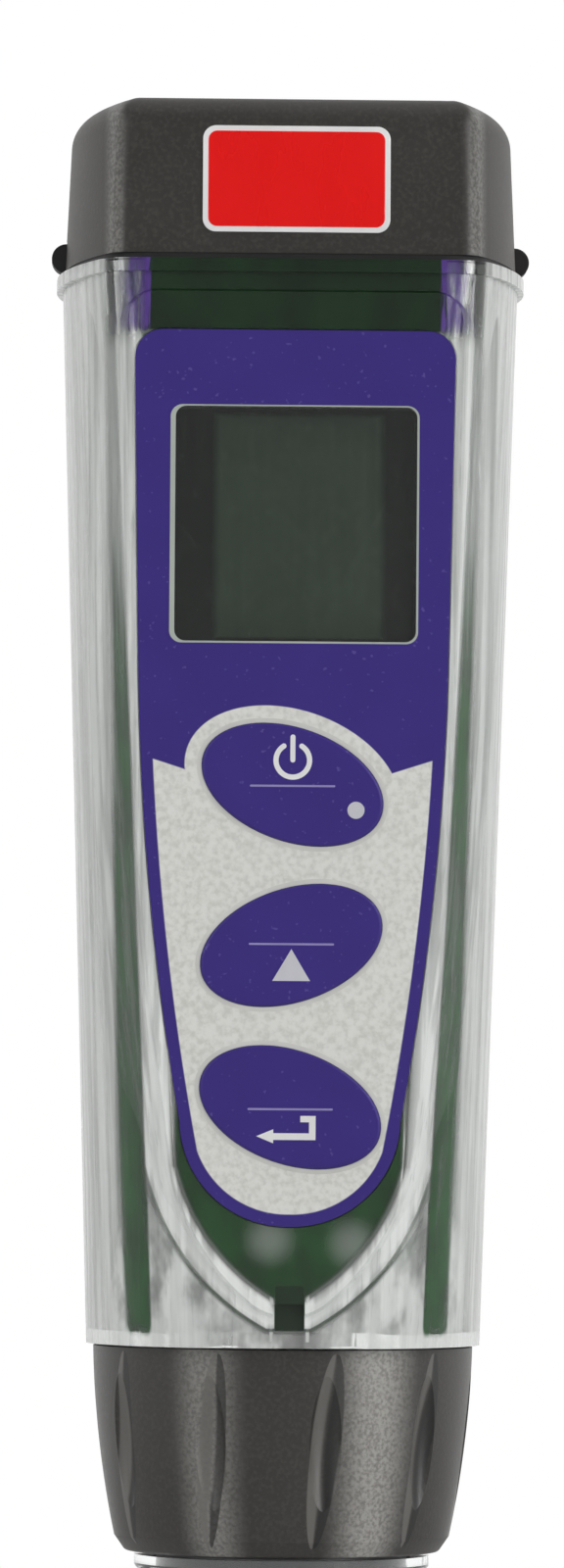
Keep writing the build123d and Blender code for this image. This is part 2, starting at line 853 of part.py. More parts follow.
with BuildPart() as flat_tail:
    with BuildSketch(Plane.XY.offset(connector_board_z + connector_board)):
        with Locations((0, board_back_y)):
            Rectangle(tail_width, tail_thickness, align=(Align.CENTER, Align.MIN))
    extrude(amount=board_base_z + tail_lap - connector_board_z - connector_board)
save(flat_tail, "flat_tail")

# Collar: turned body with a bore for the spigot, a lip under the probe's flange, and spindle-shaped grip flutes
with BuildPart() as flute:
    with BuildSketch(Plane.XZ):
        with BuildLine():
            ThreePointArc((0, -flute_length / 2), (flute_radius, 0), (0, flute_length / 2))
            Line((0, flute_length / 2), (0, -flute_length / 2))
        make_face()
    revolve(axis=Axis.Z)

with BuildPart() as collar:
    with BuildSketch(Plane.XZ):
        with BuildLine():
            Polyline(
                (collar_low_radius, collar_base + collar_low_rise),
                (collar_low_radius - collar_edge, collar_base),
                (lip_bore, collar_base),
                (lip_bore, collar_base + lip_height),
                (spigot_radius + thread_clearance, collar_base + lip_height),
                (spigot_radius + thread_clearance, collar_top),
                (collar_top_radius, collar_top),
            )
            ThreePointArc(
                (collar_top_radius, collar_top),
                (collar_mid_radius, collar_base + collar_height / 2),
                (collar_low_radius, collar_base + collar_low_rise),
            )
        make_face()
    revolve(axis=Axis.Z)
    fillet(collar.edges().filter_by(GeomType.CIRCLE).group_by(Axis.Z)[0].sort_by(SortBy.RADIUS)[-1], collar_edge / 2)
    with Locations((0, 0, collar_base + flute_rise)):
        with PolarLocations(collar_mid_radius + flute_radius - flute_depth, flute_count, flute_phase - 90):
            add(flute.part, rotation=(0, flute_tilt, 0), mode=Mode.SUBTRACT)
save(collar, "collar")

# Probe: plug, flange, shoulder for the cap and stem with the measuring chamber, turned in one piece
cup_ring_radius = shoulder_radius + cup_clearance - ring_clearance - ring_section
plug_ring_radius = plug_bore - ring_clearance - ring_section
plug_radius = plug_bore - plug_clearance
with BuildPart() as probe_body:
    extrude(disc(flange_base, plug_radius), amount=plug_top - flange_base)
    extrude(disc(flange_base, flange_radius), amount=flange_height)
    extrude(disc(shoulder_base, shoulder_radius), amount=flange_base - shoulder_base)
    extrude(disc(stem_base, probe_radius), amount=shoulder_base - stem_base)
    fillet(probe_body.edges().group_by(Axis.Z)[0], tip_edge)
    add(ring(plug_ring_z, plug_ring_radius, ring_section + ring_clearance), mode=Mode.SUBTRACT)
    add(ring(cup_ring_z, cup_ring_radius, ring_section + ring_clearance), mode=Mode.SUBTRACT)
    extrude(disc(stem_base, chamber_radius), amount=chamber_height, mode=Mode.SUBTRACT)
    with BuildSketch(Plane.YZ):
        with Locations((0, vent_base)):
            SlotOverall(vent_height, vent_width, rotation=90, align=(Align.CENTER, Align.MIN))
    extrude(amount=probe_radius, both=True, mode=Mode.SUBTRACT)
    with BuildSketch(Plane.XY.offset(stem_base + chamber_height)):
        with Locations((sensor_x, 0)):
            Circle(sensor_radius + fit_clearance)
    extrude(amount=sensor_root, mode=Mode.SUBTRACT)
    extrude(
        contact_circles(plug_top, contact_radius + contact_clearance),
        amount=-contact_reach - contact_well,
        mode=Mode.SUBTRACT,
    )
save(probe_body, "probe_body")

with BuildPart() as flange_gasket:
    with BuildSketch(Plane.XY.offset(flange_top)):
        Circle(flange_radius)
        Circle(flange_radius - gasket_width, mode=Mode.SUBTRACT)
    extrude(amount=gasket_thickness)
save(flange_gasket, "flange_gasket")

with BuildPart() as plug_ring:
    add(ring(plug_ring_z, plug_ring_radius, ring_section))
save(plug_ring, "plug_ring")

with BuildPart() as cup_ring:
    add(ring(cup_ring_z, cup_ring_radius, ring_section))
save(cup_ring, "cup_ring")

# Electrode plates on the chamber's walls, and the temperature pin beside them
with BuildPart() as electrode_plates:
    with BuildSketch(Plane.XY.offset(plate_base)):
        for side in (-1, 1):
            with Locations((0, side * (plate_offset - plate_thickness / 2))):
                Rectangle(plate_width, plate_thickness)
    extrude(amount=plate_height)
save(electrode_plates, "electrode_plates")

with BuildPart() as temperature_pin:
    with BuildSketch(Plane.XY.offset(stem_base + chamber_height + sensor_root)):
        with Locations((sensor_x, 0)):
            Circle(sensor_radius)
    extrude(amount=-sensor_root - sensor_length)
    fillet(temperature_pin.edges().group_by(Axis.Z)[0], sensor_edge)
save(temperature_pin, "temperature_pin")

# Probe cap: clear cup on the shoulder, with a bead at its mouth and a flat base
with BuildPart() as probe_cap:
    with BuildSketch(Plane.XZ):
        with BuildLine():
            Polyline(
                (0, 0),
                (cup_base_radius, 0),
                (cup_neck_radius, probe_cap_height - 2 * cup_bead_height),
                (cup_bead_radius, probe_cap_height - cup_bead_height),
                (cup_bead_radius, probe_cap_height),
                (shoulder_radius + cup_clearance, probe_cap_height),
                (shoulder_radius + cup_clearance, shoulder_base),
                (cup_inner_top, shoulder_base - cup_step),
                (cup_inner_base, cup_floor),
                (0, cup_floor),
                close=True,
            )
        make_face()
    revolve(axis=Axis.Z)
    fillet(probe_cap.edges().filter_by(GeomType.CIRCLE).group_by(Axis.Z)[0], cup_base_edge)
save(probe_cap, "probe_cap")
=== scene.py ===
"""Pocket conductivity meter: finishes, printed marks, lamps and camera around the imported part.

Laid out as an add-on and run as a script. Blender's lengths are metres. Names that end in _mm or _MM, and all
places in a finish, are millimetres. +Z runs up to the battery cap and the keypad faces -Y. A fade is given by
two numbers: where it is still 0 and where it is full.
"""
import math

import bmesh
import bpy
import numpy as np
from mathutils import Matrix, Vector


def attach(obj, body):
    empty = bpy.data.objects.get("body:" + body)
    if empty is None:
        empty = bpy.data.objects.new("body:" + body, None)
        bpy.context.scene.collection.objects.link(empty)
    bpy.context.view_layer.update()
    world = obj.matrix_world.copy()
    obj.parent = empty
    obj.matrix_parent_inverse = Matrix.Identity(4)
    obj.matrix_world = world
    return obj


bl_info = {
    "name": "Pocket conductivity meter",
    "version": (1, 0, 0),
    "blender": (4, 5, 0),
    "location": "3D View > Sidebar > Meter",
    "description": "Finishes and fine pieces of a pocket conductivity meter",
    "category": "Object",
}

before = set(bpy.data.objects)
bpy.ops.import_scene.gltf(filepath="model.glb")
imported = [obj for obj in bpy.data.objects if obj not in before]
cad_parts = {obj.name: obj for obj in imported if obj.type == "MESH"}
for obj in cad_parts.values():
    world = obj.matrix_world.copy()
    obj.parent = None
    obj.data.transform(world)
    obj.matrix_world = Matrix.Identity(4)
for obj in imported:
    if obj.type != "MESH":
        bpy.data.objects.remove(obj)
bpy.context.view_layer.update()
MM = 0.001

# The leaning land of the housing's shield: height and distance from the long axis, at its base and at the rim
LAND_BASE_MM = (74.0, 17.5)
LAND_TOP_MM = (164.3, 19.75)
LEAN = math.atan((LAND_TOP_MM[1] - LAND_BASE_MM[1]) / (LAND_TOP_MM[0] - LAND_BASE_MM[0]))
LAND_FOOT_MM = LAND_BASE_MM[1] - LAND_BASE_MM[0] * math.tan(LEAN)

# The battery cap's front face: height and distance at its base, and how it leans back above that
CAP_BASE_MM = (164.8, 19.2)
CAP_LEAN = 0.6 / 13.2
# Where the painted highlight lies on the cap's two corner creases: their distance from the middle, the fade
# across them, and the fade towards the front
CAP_CREASE_MM = {"side": 15.1, "fade": (0.15, 1.0), "front": (-11.0, -13.0)}

# The badge: corners of its rim and its field, and the foot, face and drawn-in edge of both
BADGE_CORNERS_MM = (1.1, 0.75)
BADGE_RIM_MM = (-0.05, 0.14, 0.06)
BADGE_FIELD_MM = (0.0, 0.19, 0.04)

# The collar's grip flutes: leaves that lean sideways as they rise, the first one at a turn from the front
COLLAR_RADIUS_MM = 15.5
FLUTES = {"count": 10, "first": math.radians(12), "lean": 0.09}
FLUTES_MM = {"middle": 65.4, "half_length": 8.2, "half_width": 1.25}
# Two sheens painted into the collar's colour, each with its turn from the front, its fade beside that turn
# and its strength
SHEENS = ((-0.44, (0.24, 0.02), 0.5), (0.5, (0.3, 0.02), 0.85))

# The tilted elliptical keys: the height of each centre and which way it leans, then what they share
KEYS_MM = {"power": (120.7, -1), "up": (107.4, 1), "enter": (94.0, -1)}
KEY_LONG_MM = 7.8
KEY_SHORT_MM = 4.68
KEY_GAP_MM = 0.25
KEY_TILT = math.radians(19.0)
KEY_POINTS = 72

# Webs that bridge the gap round a key: how far they reach past the key, and their foot and face over the land
WEB_REACH_MM = (0.42, 0.03)
WEB_MM = (0.02, 0.14)

# Foot, face and drawn-in edge of a printed mark over the land, and the marks' own sizes
MARK_MM = (0.36, 0.43, 0.02)
UNDERLINES_MM = {"power": 120.6, "up": 107.5, "enter": 93.84}
UNDERLINE_HALF_MM = 3.45
UNDERLINE_STROKE_MM = 0.17
POWER_BAR_MM = (122.75, 123.7, 124.65)
POWER_ARC_MM = {"centre": 122.72, "radius": 1.4}
POWER_ARC_DEGREES = (122, 418)
DOT_MM = {"radius": 0.71, "corner": 0.709, "centre": (5.27, 118.62)}
UP_ARROW_MM = ((-1.57, 104.45), (0, 104.45), (1.57, 104.45), (0.785, 105.77), (0, 107.1), (-0.785, 105.77))

# Outline of the return mark: the arrow's point and lower barb, the shaft, its upturned end and the upper barb
HOOK_MM = (
    (-2.8, 91.6), (-1.4, 91.02), (-1.4, 91.3), (2.12, 91.3), (2.12, 93.3), (0.85, 93.3), (0.85, 92.78),
    (1.58, 92.78), (1.58, 91.86), (-1.4, 91.86), (-1.4, 92.18),
)

# Outline of the overlay's lower part as half widths and heights, and the top edge of its printed grey field
FILM_HIP_MM = (12.85, 130.0)
FILM_WAIST_MM = (11.7, 111.0)
FILM_CORNER_MM = (9.15, 92.8)
FILM_TIP_MM = 84.105
FIELD_TOP_MM = {"half_width": 11.2, "height": 122.6}
FIELD_SLOPE = 0.32
PRINT_EDGE_MM = 0.06

# The display window, its pale edge, that edge's foot and face over the land, and the display's bands of
# painted shade
WINDOW_MM = {"centre": 142.3, "half": 10.33, "half_height": 9.88, "corner": 1.0}
WINDOW_EDGE_MM = {"sides": 0.3, "ends": 0.14, "corner": 0.1, "shift": (0.12, 0.02)}
WINDOW_EDGE_RISE_MM = (0.04, 0.13)
DISPLAY_BANDS_MM = {"left": (-6.0, -6.9), "right": (7.0, 7.8), "ends": (9.1, 9.5)}

# The shield's flank, where a pale reflection is painted: half widths and heights of its foot's bend, how that
# foot spreads above it, the flank's width and the height at which it ends
FLANK_FOOT_MM = ((11.9, 89.0), (8.2, 81.0), (2.7, 76.1))
FLANK_SPREAD = 0.0445
FLANK_WIDTH_MM = 2.2
FLANK_BASE_MM = 75.6

# The upright clear stripe beside the flank, which moves out and narrows for each millimetre above its start
STRIPE_MM = {"from": 92.0, "middle": 13.05, "half_width": 1.1}
STRIPE_SPREAD = 0.034
STRIPE_NARROWING = 0.013

# Fades of the housing's satin areas: the first four along Y, then heights, and a half width last
HOUSING_FADES_MM = {
    "front": (-8.0, -9.5),
    "rear": (-9.0, -4.0),
    "back": (4.0, 9.0),
    "stripe_front": (-10.5, -12.0),
    "below_rim": (159.5, 156.5),
    "bevel": (116, 88),
    "corners": (91, 80),
    "basin": (99, 91),
    "crown": (157.8, 158.8),
    "stripe_top": (152, 124),
    "stripe_base": (74.5, 76),
    "crease": (90, 86),
    "fringe": (158.0, 159.0),
    "crown_side": (13.4, 12.2),
}
FRINGE_MM = {"side": 13.2, "fade": (1.3, 0.6)}
SPOTS_MM = ((-1.6, 83.0), (5.2, 82.7))
SPOT_RADIUS_MM = 2.8

# The notch at the shield's tip: its middle, the fades of the painted shade on its floor, and the painted
# highlights on the walls at both sides
NOTCH_MM = {"middle": 0.1, "side": (1.32, 1.1), "base": (75.3, 75.6), "top": (79.4, 79.0)}
NOTCH_WALL_MM = {"side": 1.5, "fade": (0.08, 0.25), "base": (74.4, 74.6), "top": (79.3, 78.9)}

# Nodes that share a finish
BLACK_RUBBER = ("cap_seal", "plug_ring", "cup_ring", "flange_gasket", "zebra_strips")
BLACK_MOULDINGS = ("battery_lid", "display_frame", "probe_socket", "board_chips")
STEEL_NODES = ("board_screws", "lid_pin", "cell_leaves", "lid_contacts", "key_switches", "temperature_pin")

# The cells' jackets: heights at which the copper band and the bare top begin
CELL_BAND_MM = (158.3, 158.4)
CELL_TOP_MM = (167.2, 167.4)

# The stage, in metres where a name doesn't say millimetres: the lamps' sides, places and target, then the
# bench's half side, how far it lies below the meter and where it turns white, and the camera's own values
LAMP_SIDE = 0.45
LAMP_TOP_SIDE = 0.5
LAMP_PLACES = {
    "lamp_left": (-0.55, -0.55, 0.42),
    "lamp_right": (0.6, -0.5, 0.36),
    "lamp_top": (0.0, -0.15, 0.9),
}
LAMP_TARGET = (0, 0, 0.11)
BENCH_HALF = 4.0
BENCH_DROP = 0.0001
BENCH_WHITE_MM = (260, 620)
CAMERA_CLIP = (0.05, 20)
SENSOR_WIDTH_MM = 36


def tone(red, green, blue):
    """Linear colour from the three 0 to 255 values of a picture."""
    shares = (value / 255 for value in (red, green, blue))
    return tuple(s / 12.92 if s <= 0.04045 else ((s + 0.055) / 1.055) ** 2.4 for s in shares)


def colour_prop(name, description, red, green, blue):
    """Colour property with its default given as 0 to 255 values."""
    return bpy.props.FloatVectorProperty(
        name=name, description=description, subtype="COLOR", size=3, min=0, max=1,
        default=tone(red, green, blue),
    )


def length_prop(name, description, millimetres):
    """Length property with its default given in millimetres."""
    return bpy.props.FloatProperty(
        name=name, description=description, unit="LENGTH", min=0, precision=5, default=millimetres * MM
    )


class MeterColours(bpy.types.PropertyGroup):
    """Colours of the meter's mouldings, film and marks."""

    grey: colour_prop("Moulding grey", "Battery cap and screw collar", 46, 44, 41)
    green: colour_prop("Chassis green", "Inner body behind the clear housing", 22, 78, 30)
    purple: colour_prop("Film purple", "Printed film and keys", 57, 41, 128)
    field: colour_prop("Field grey", "Grey field printed round the keys", 232, 232, 227)
    ink: colour_prop("Ink white", "Marks printed on the keys", 246, 246, 246)
    red: colour_prop("Badge red", "Plain badge on the battery cap", 244, 4, 3)
    display: colour_prop("Display grey", "Resting display behind its window", 92, 114, 93)
    # Painted shade: the dark bands at the display's sides and ends
    display_shade: colour_prop("Display edge", "Dark bands beside the display", 20, 32, 20)
    # Painted pale light: the colour of the painted reflection on the housing's flank and walls, and of its
    # painted spots of light
    painted_pale_light: colour_prop("Frost", "Satin flank and walls of the clear housing", 246, 249, 246)


class MeterSizes(bpy.types.PropertyGroup):
    """Sizes of the fine pieces that are added to the mouldings."""

    badge_width: length_prop("Badge width", "Width of the badge on the battery cap", 15.6)
    badge_height: length_prop("Badge height", "Height of the badge on the battery cap", 8.9)
    badge_height_at: length_prop("Badge place", "Height of the badge's centre above the bench", 171.0)
    badge_rim: length_prop("Badge rim", "Width of the badge's white rim", 0.45)
    stroke: length_prop("Mark stroke", "Width of the strokes of the printed marks", 0.42)
    border: length_prop("Film border", "Width of the purple border round the grey field", 1.0)
    halo: length_prop("Halo", "Width of the grey ring round the top key", 1.17)


class MeterStage(bpy.types.PropertyGroup):
    """Camera and lamps."""

    lens: bpy.props.FloatProperty(
        name="Lens", description="Focal length", subtype="DISTANCE_CAMERA", default=189
    )
    distance: length_prop("Camera distance", "From the camera to the meter's long axis", 700)
    camera_height: length_prop("Camera height", "Height of the camera above the bench", 92.3)
    aim_height: length_prop("Aim height", "Height that the camera looks at", 121.5)
    aim_side: bpy.props.FloatProperty(
        name="Aim side", description="Sideways place that the camera looks at", unit="LENGTH", precision=5,
        default=-0.39 * MM,
    )
    turn: bpy.props.FloatProperty(
        name="Turn", description="Camera's turn round the meter", subtype="ANGLE", default=math.radians(-1.5)
    )
    roll: bpy.props.FloatProperty(
        name="Roll", description="Camera's roll", subtype="ANGLE", default=math.radians(0.4)
    )
    ambient: bpy.props.FloatProperty(
        name="Ambient", description="Strength of the even light", default=0.36
    )
    panels: bpy.props.FloatProperty(
        name="Panels", description="Brightness of the two upright panels in reflections", default=5.0
    )
    front_glow: bpy.props.FloatProperty(
        name="Front glow", description="How bright a reflection finds the front side", default=0.16
    )
    left_lamp: bpy.props.FloatProperty(
        name="Left lamp", description="Power of the lamp at the front left", subtype="POWER", default=1.3
    )
    right_lamp: bpy.props.FloatProperty(
        name="Right lamp", description="Power of the lamp at the front right", subtype="POWER", default=1.8
    )
    top_lamp: bpy.props.FloatProperty(
        name="Top lamp", description="Power of the lamp above the meter", subtype="POWER", default=1.0
    )


class Wire:
    """An output socket whose arithmetic adds Math nodes to its tree."""

    def __init__(self, owner, socket):
        self.owner = owner
        self.socket = socket

    def math(self, operation, *values):
        return self.owner.node("ShaderNodeMath", {"operation": operation}, dict(enumerate(values)))

    def __add__(self, other):
        return self.math("ADD", self, other)

    __radd__ = __add__

    def __mul__(self, other):
        return self.math("MULTIPLY", self, other)

    __rmul__ = __mul__

    def __sub__(self, other):
        return self.math("SUBTRACT", self, other)

    def __rsub__(self, other):
        return self.math("SUBTRACT", other, self)

    def __truediv__(self, other):
        return self.math("DIVIDE", self, other)

    def __rtruediv__(self, other):
        return self.math("DIVIDE", other, self)

    def __abs__(self):
        return self.math("ABSOLUTE", self)

    def root(self):
        return self.math("SQRT", self)

    def fraction(self):
        return self.math("FRACT", self)

    def turn_from(self, ahead):
        """Turn in radians from the way ahead to the point that lies this far to its side."""
        return self.math("ARCTAN2", self, ahead)

    def least(self, other):
        return self.math("MINIMUM", self, other)

    def most(self, other):
        return self.math("MAXIMUM", self, other)

    def rise(self, low, high):
        """0 below low and 1 above high, smooth between them; falling if low is above high."""
        falling = low > high
        return self.owner.node(
            "ShaderNodeMapRange",
            {"interpolation_type": "SMOOTHSTEP"},
            {"Value": self, "From Min": min(low, high), "From Max": max(low, high),
             "To Min": float(falling), "To Max": float(not falling)},
        )


class Nodes:
    """A node tree with the words that add nodes to it."""

    def __init__(self, tree):
        self.tree = tree

    def node(self, kind, settings=None, sockets=None, out=0):
        """Adds a node with its settings, and its sockets' values or links; gives one of its outputs."""
        made = self.tree.nodes.new(kind)
        for name, value in (settings or {}).items():
            setattr(made, name, value)
        self.fill(made, sockets or {})
        return Wire(self, made.outputs[out])

    def fill(self, made, sockets):
        """Links a node's sockets or sets their values, a colour's without its alpha."""
        for key, value in sockets.items():
            if isinstance(value, Wire):
                self.tree.links.new(value.socket, made.inputs[key])
            elif hasattr(value, "__len__") and len(value) == 3 and made.inputs[key].type == "RGBA":
                made.inputs[key].default_value = (*value, 1)
            else:
                made.inputs[key].default_value = value

    def outputs(self, wire, *names):
        """Other outputs of the node that a wire comes from, by name or number."""
        return [Wire(self, wire.socket.node.outputs[name]) for name in names]

    def mix(self, mask, first, second):
        """Colour first where the mask is 0 and second where it is 1."""
        return self.node("ShaderNodeMix", {"data_type": "RGBA"}, {0: mask, 6: first, 7: second}, out=2)


class Finish(Nodes):
    """A material while it is built: its node tree, its shader and the words for its surface."""

    def __init__(self, name, sockets):
        self.material = bpy.data.materials.new(name)
        self.material.use_nodes = True
        super().__init__(self.material.node_tree)
        self.shader = self.tree.nodes["Principled BSDF"]
        self.drive(sockets)

    def drive(self, sockets):
        """Sets or links the shader's own sockets."""
        self.fill(self.shader, sockets)

    def colour(self):
        """The mixed colour that the shader has so far."""
        return Wire(self, self.shader.inputs["Base Color"].links[0].from_socket)

    def object_point(self):
        return self.node("ShaderNodeTexCoord", out="Object")

    def place(self):
        """X, Y and Z in millimetres."""
        apart = self.node("ShaderNodeSeparateXYZ", None, {0: self.object_point()})
        return [axis / MM for axis in self.outputs(apart, 0, 1, 2)]

    def noise(self, size_mm, stretch=(1, 1, 1), detail=2.0):
        """Noise from 0 to 1 with grains of a size in millimetres, drawn out along the axes by stretch."""
        grain = tuple(size_mm * MM * s for s in stretch)
        point = self.node("ShaderNodeVectorMath", {"operation": "DIVIDE"}, {0: self.object_point(), 1: grain})
        return self.node("ShaderNodeTexNoise", None, {"Vector": point, "Scale": 1.0, "Detail": detail})

    def lay_over(self, mask, over):
        """Shows a second shader in place of the finish's own where the mask is 1."""
        own = Wire(self, self.shader.outputs[0])
        both = self.node("ShaderNodeMixShader", None, {0: mask, 1: own, 2: over})
        self.tree.links.new(both.socket, self.tree.nodes["Material Output"].inputs["Surface"])

    def bump(self, height, strength, distance_mm):
        """Bump on the shader's normal from a height from 0 to 1."""
        normal = self.node("ShaderNodeBump", None,
                           {"Strength": strength, "Distance": distance_mm * MM, "Height": height})
        self.drive({"Normal": normal})


def colours():
    """The scene's colours."""
    return bpy.context.scene.meter_colours


def sizes():
    """The scene's sizes of fine pieces."""
    return bpy.context.scene.meter_sizes


def scaled(colour, share):
    """A colour made darker or lighter by a share, no brighter than white."""
    return tuple(min(1.0, part * share) for part in colour)


def dress(node, finish):
    """Gives a CAD node one finish."""
    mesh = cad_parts[node].data
    mesh.materials.clear()
    mesh.materials.append(finish.material)


def on_land(x_mm, up_mm, out_mm):
    """Points of the shield's leaning land as an array: across it, up it, and out from it, in metres."""
    x, up, out = np.broadcast_arrays(*(np.asarray(v, float) for v in (x_mm, up_mm, out_mm)))
    c, s = math.cos(LEAN), math.sin(LEAN)
    return np.stack([x, -LAND_FOOT_MM - up * s - out * c, up * c - out * s], axis=-1) * MM


def on_cap(x_mm, up_mm, out_mm):
    """Points of the battery cap's front face: its distance falls with the height, and out is added to it."""
    x, up, out = np.broadcast_arrays(x_mm, up_mm, out_mm)
    base_up, base_out = CAP_BASE_MM
    return np.stack([x, -(base_out - CAP_LEAN * (up - base_up)) - out, up], axis=-1) * MM


def grid_piece(name, points, wrap=False, closed_ends=False, ring=False):
    """Mesh piece from an array of points with two parameters.

    wrap joins the ends of the second one, closed_ends caps the first one's, and ring joins those instead.
    """
    rows, columns = points.shape[:2]
    index = np.arange(rows * columns).reshape(rows, columns)
    if ring:
        index = np.concatenate([index, index[:1]])
    right = np.roll(index, -1, axis=1) if wrap else index[:, 1:]
    left = index if wrap else index[:, :-1]
    quads = np.stack([left[:-1], right[:-1], right[1:], left[1:]], axis=-1).reshape(-1, 4).tolist()
    if closed_ends:
        quads += [index[0, ::-1].tolist(), index[-1].tolist()]
    mesh = bpy.data.meshes.new(name)
    mesh.from_pydata(points.reshape(-1, 3).tolist(), [], quads)
    mesh.validate()
    piece = bpy.data.objects.new(name, mesh)
    bpy.context.scene.collection.objects.link(piece)
    return piece


def plate(name, outline, place, low_mm, high_mm, edge_mm):
    """Closed thin plate: an outline (n, 2) carried from its foot to its face by place(x, up, out).

    The wall is the outline at the foot and near the face, and the face's rim is drawn in by edge_mm towards
    the outline's centre, which gives the print a rounded edge.
    """
    centre = outline.mean(axis=0)
    reach = np.linalg.norm(outline - centre, axis=1).max()
    drawn = centre + (outline - centre) * (1 - edge_mm / reach)
    rings = [(outline, low_mm), (outline, high_mm - edge_mm / 2), (drawn, high_mm)]
    points = np.stack([place(ring[:, 0], ring[:, 1], out) for ring, out in rings])
    return grid_piece(name, points, wrap=True, closed_ends=True)


def ring_plate(name, outer, inner, place, low_mm, high_mm):
    """Closed flat ring between two outlines with as many points each, carried by place(x, up, out)."""
    rings = [(outer, low_mm), (outer, high_mm), (inner, high_mm), (inner, low_mm)]
    points = np.stack([place(ring[:, 0], ring[:, 1], out) for ring, out in rings])
    return grid_piece(name, points, wrap=True, ring=True)


def finish_piece(piece, body, finish):
    """Gives a new piece its finish and its body, and turns its faces outwards."""
    mesh = piece.data
    work = bmesh.new()
    work.from_mesh(mesh)
    bmesh.ops.recalc_face_normals(work, faces=work.faces)
    work.to_mesh(mesh)
    work.free()
    mesh.materials.append(finish.material)
    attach(piece, body)


def rounded_outline(half_width, half_height, corner, centre=(0.0, 0.0)):
    """Rounded rectangle as points round a loop: a quarter circle of twelve points at each corner."""
    turns = np.linspace(0, math.pi / 2, 12)
    quarters = [
        np.stack([np.cos(turns + k * math.pi / 2), np.sin(turns + k * math.pi / 2)], axis=-1) * corner
        + np.array([sx * (half_width - corner), sy * (half_height - corner)])
        for k, (sx, sy) in enumerate([(1, 1), (-1, 1), (-1, -1), (1, -1)])
    ]
    return np.concatenate(quarters) + np.array(centre)


def stroke_outline(path, width):
    """Outline of a round-ended stroke: a path's points moved by half the width to each side, and two ends.

    An end is a half turn of eight points round the path's last or first point.
    """
    path = np.asarray(path, float)
    along = np.gradient(path, axis=0)
    along /= np.linalg.norm(along, axis=1)[:, None]
    side = np.stack([-along[:, 1], along[:, 0]], axis=-1) * width / 2
    turns = np.linspace(0, math.pi, 10)[1:-1, None]

    def end(point, start):
        across = np.array([start[1], -start[0]])
        return point + np.cos(turns) * start + np.sin(turns) * across

    there = [path + side, end(path[-1], side[-1])]
    back = [(path - side)[::-1], end(path[0], -side[0])]
    return np.concatenate(there + back)


def key_loop(centre, leaning, grow):
    """Outline of a tilted key grown by a width: an ellipse turned by KEY_TILT."""
    turns = np.linspace(0, 2 * math.pi, KEY_POINTS, endpoint=False)
    along = (KEY_LONG_MM + grow) * np.cos(turns)
    across = (KEY_SHORT_MM + grow) * np.sin(turns)
    c, s = math.cos(KEY_TILT * leaning), math.sin(KEY_TILT * leaning)
    return np.stack([along * c - across * s, centre + along * s + across * c], axis=-1)


def underline(up):
    """Fine printed line under a key's upper mark."""
    path = [(side, up) for side in (-UNDERLINE_HALF_MM, 0, UNDERLINE_HALF_MM)]
    return stroke_outline(path, UNDERLINE_STROKE_MM)


def power_arc(stroke):
    """Open circle of the power mark: a stroke along a turn that leaves a gap at its top."""
    turns = np.radians(np.linspace(*POWER_ARC_DEGREES, 40))
    radius = POWER_ARC_MM["radius"]
    path = np.stack([radius * np.cos(turns), POWER_ARC_MM["centre"] + radius * np.sin(turns)], axis=-1)
    return stroke_outline(path, stroke)


def power_bar(stroke):
    """Upright bar in the power mark's gap."""
    return stroke_outline([(0, up) for up in POWER_BAR_MM], stroke)


def power_dot():
    """Round dot at the top key's lower end."""
    radius = DOT_MM["radius"]
    return rounded_outline(radius, radius, DOT_MM["corner"], DOT_MM["centre"])


# Finishes


def grained(name, colour, roughness=0.5, specular=0.35):
    """Textured moulding: fine sparks in the colour, uneven gloss and a grained surface."""
    finish = Finish(name, {"Specular IOR Level": specular})
    grain = finish.noise(0.35, detail=3)
    cloud = finish.noise(9, detail=3)
    lighter = tuple(min(1.0, part * 1.9 + 0.004) for part in colour)
    speck = grain.rise(0.42, 0.72) * 0.55 + cloud.rise(0.3, 0.8) * 0.25
    finish.drive({
        "Base Color": finish.mix(speck, tuple(colour), lighter),
        "Roughness": roughness - 0.1 + 0.2 * grain,
    })
    finish.bump(grain, 0.35, 0.05)
    return finish


def creased_cap():
    """The battery cap's textured moulding, with a painted highlight in sparks along its two front corner
    creases.
    """
    finish = grained("cap_grain_and_painted_highlight", colours().grey)
    x, y, _ = finish.place()
    past_crease = abs(abs(x) - CAP_CREASE_MM["side"]).rise(*CAP_CREASE_MM["fade"])
    crease = (1 - past_crease) * y.rise(*CAP_CREASE_MM["front"])
    sparks = finish.noise(0.3, detail=3).rise(0.35, 0.65)
    # Painted highlight: lighter grey sparks along the creases
    crease_highlight = crease * (0.25 + 0.4 * sparks)
    finish.drive({"Base Color": finish.mix(crease_highlight, finish.colour(), tone(150, 149, 145))})
    return finish


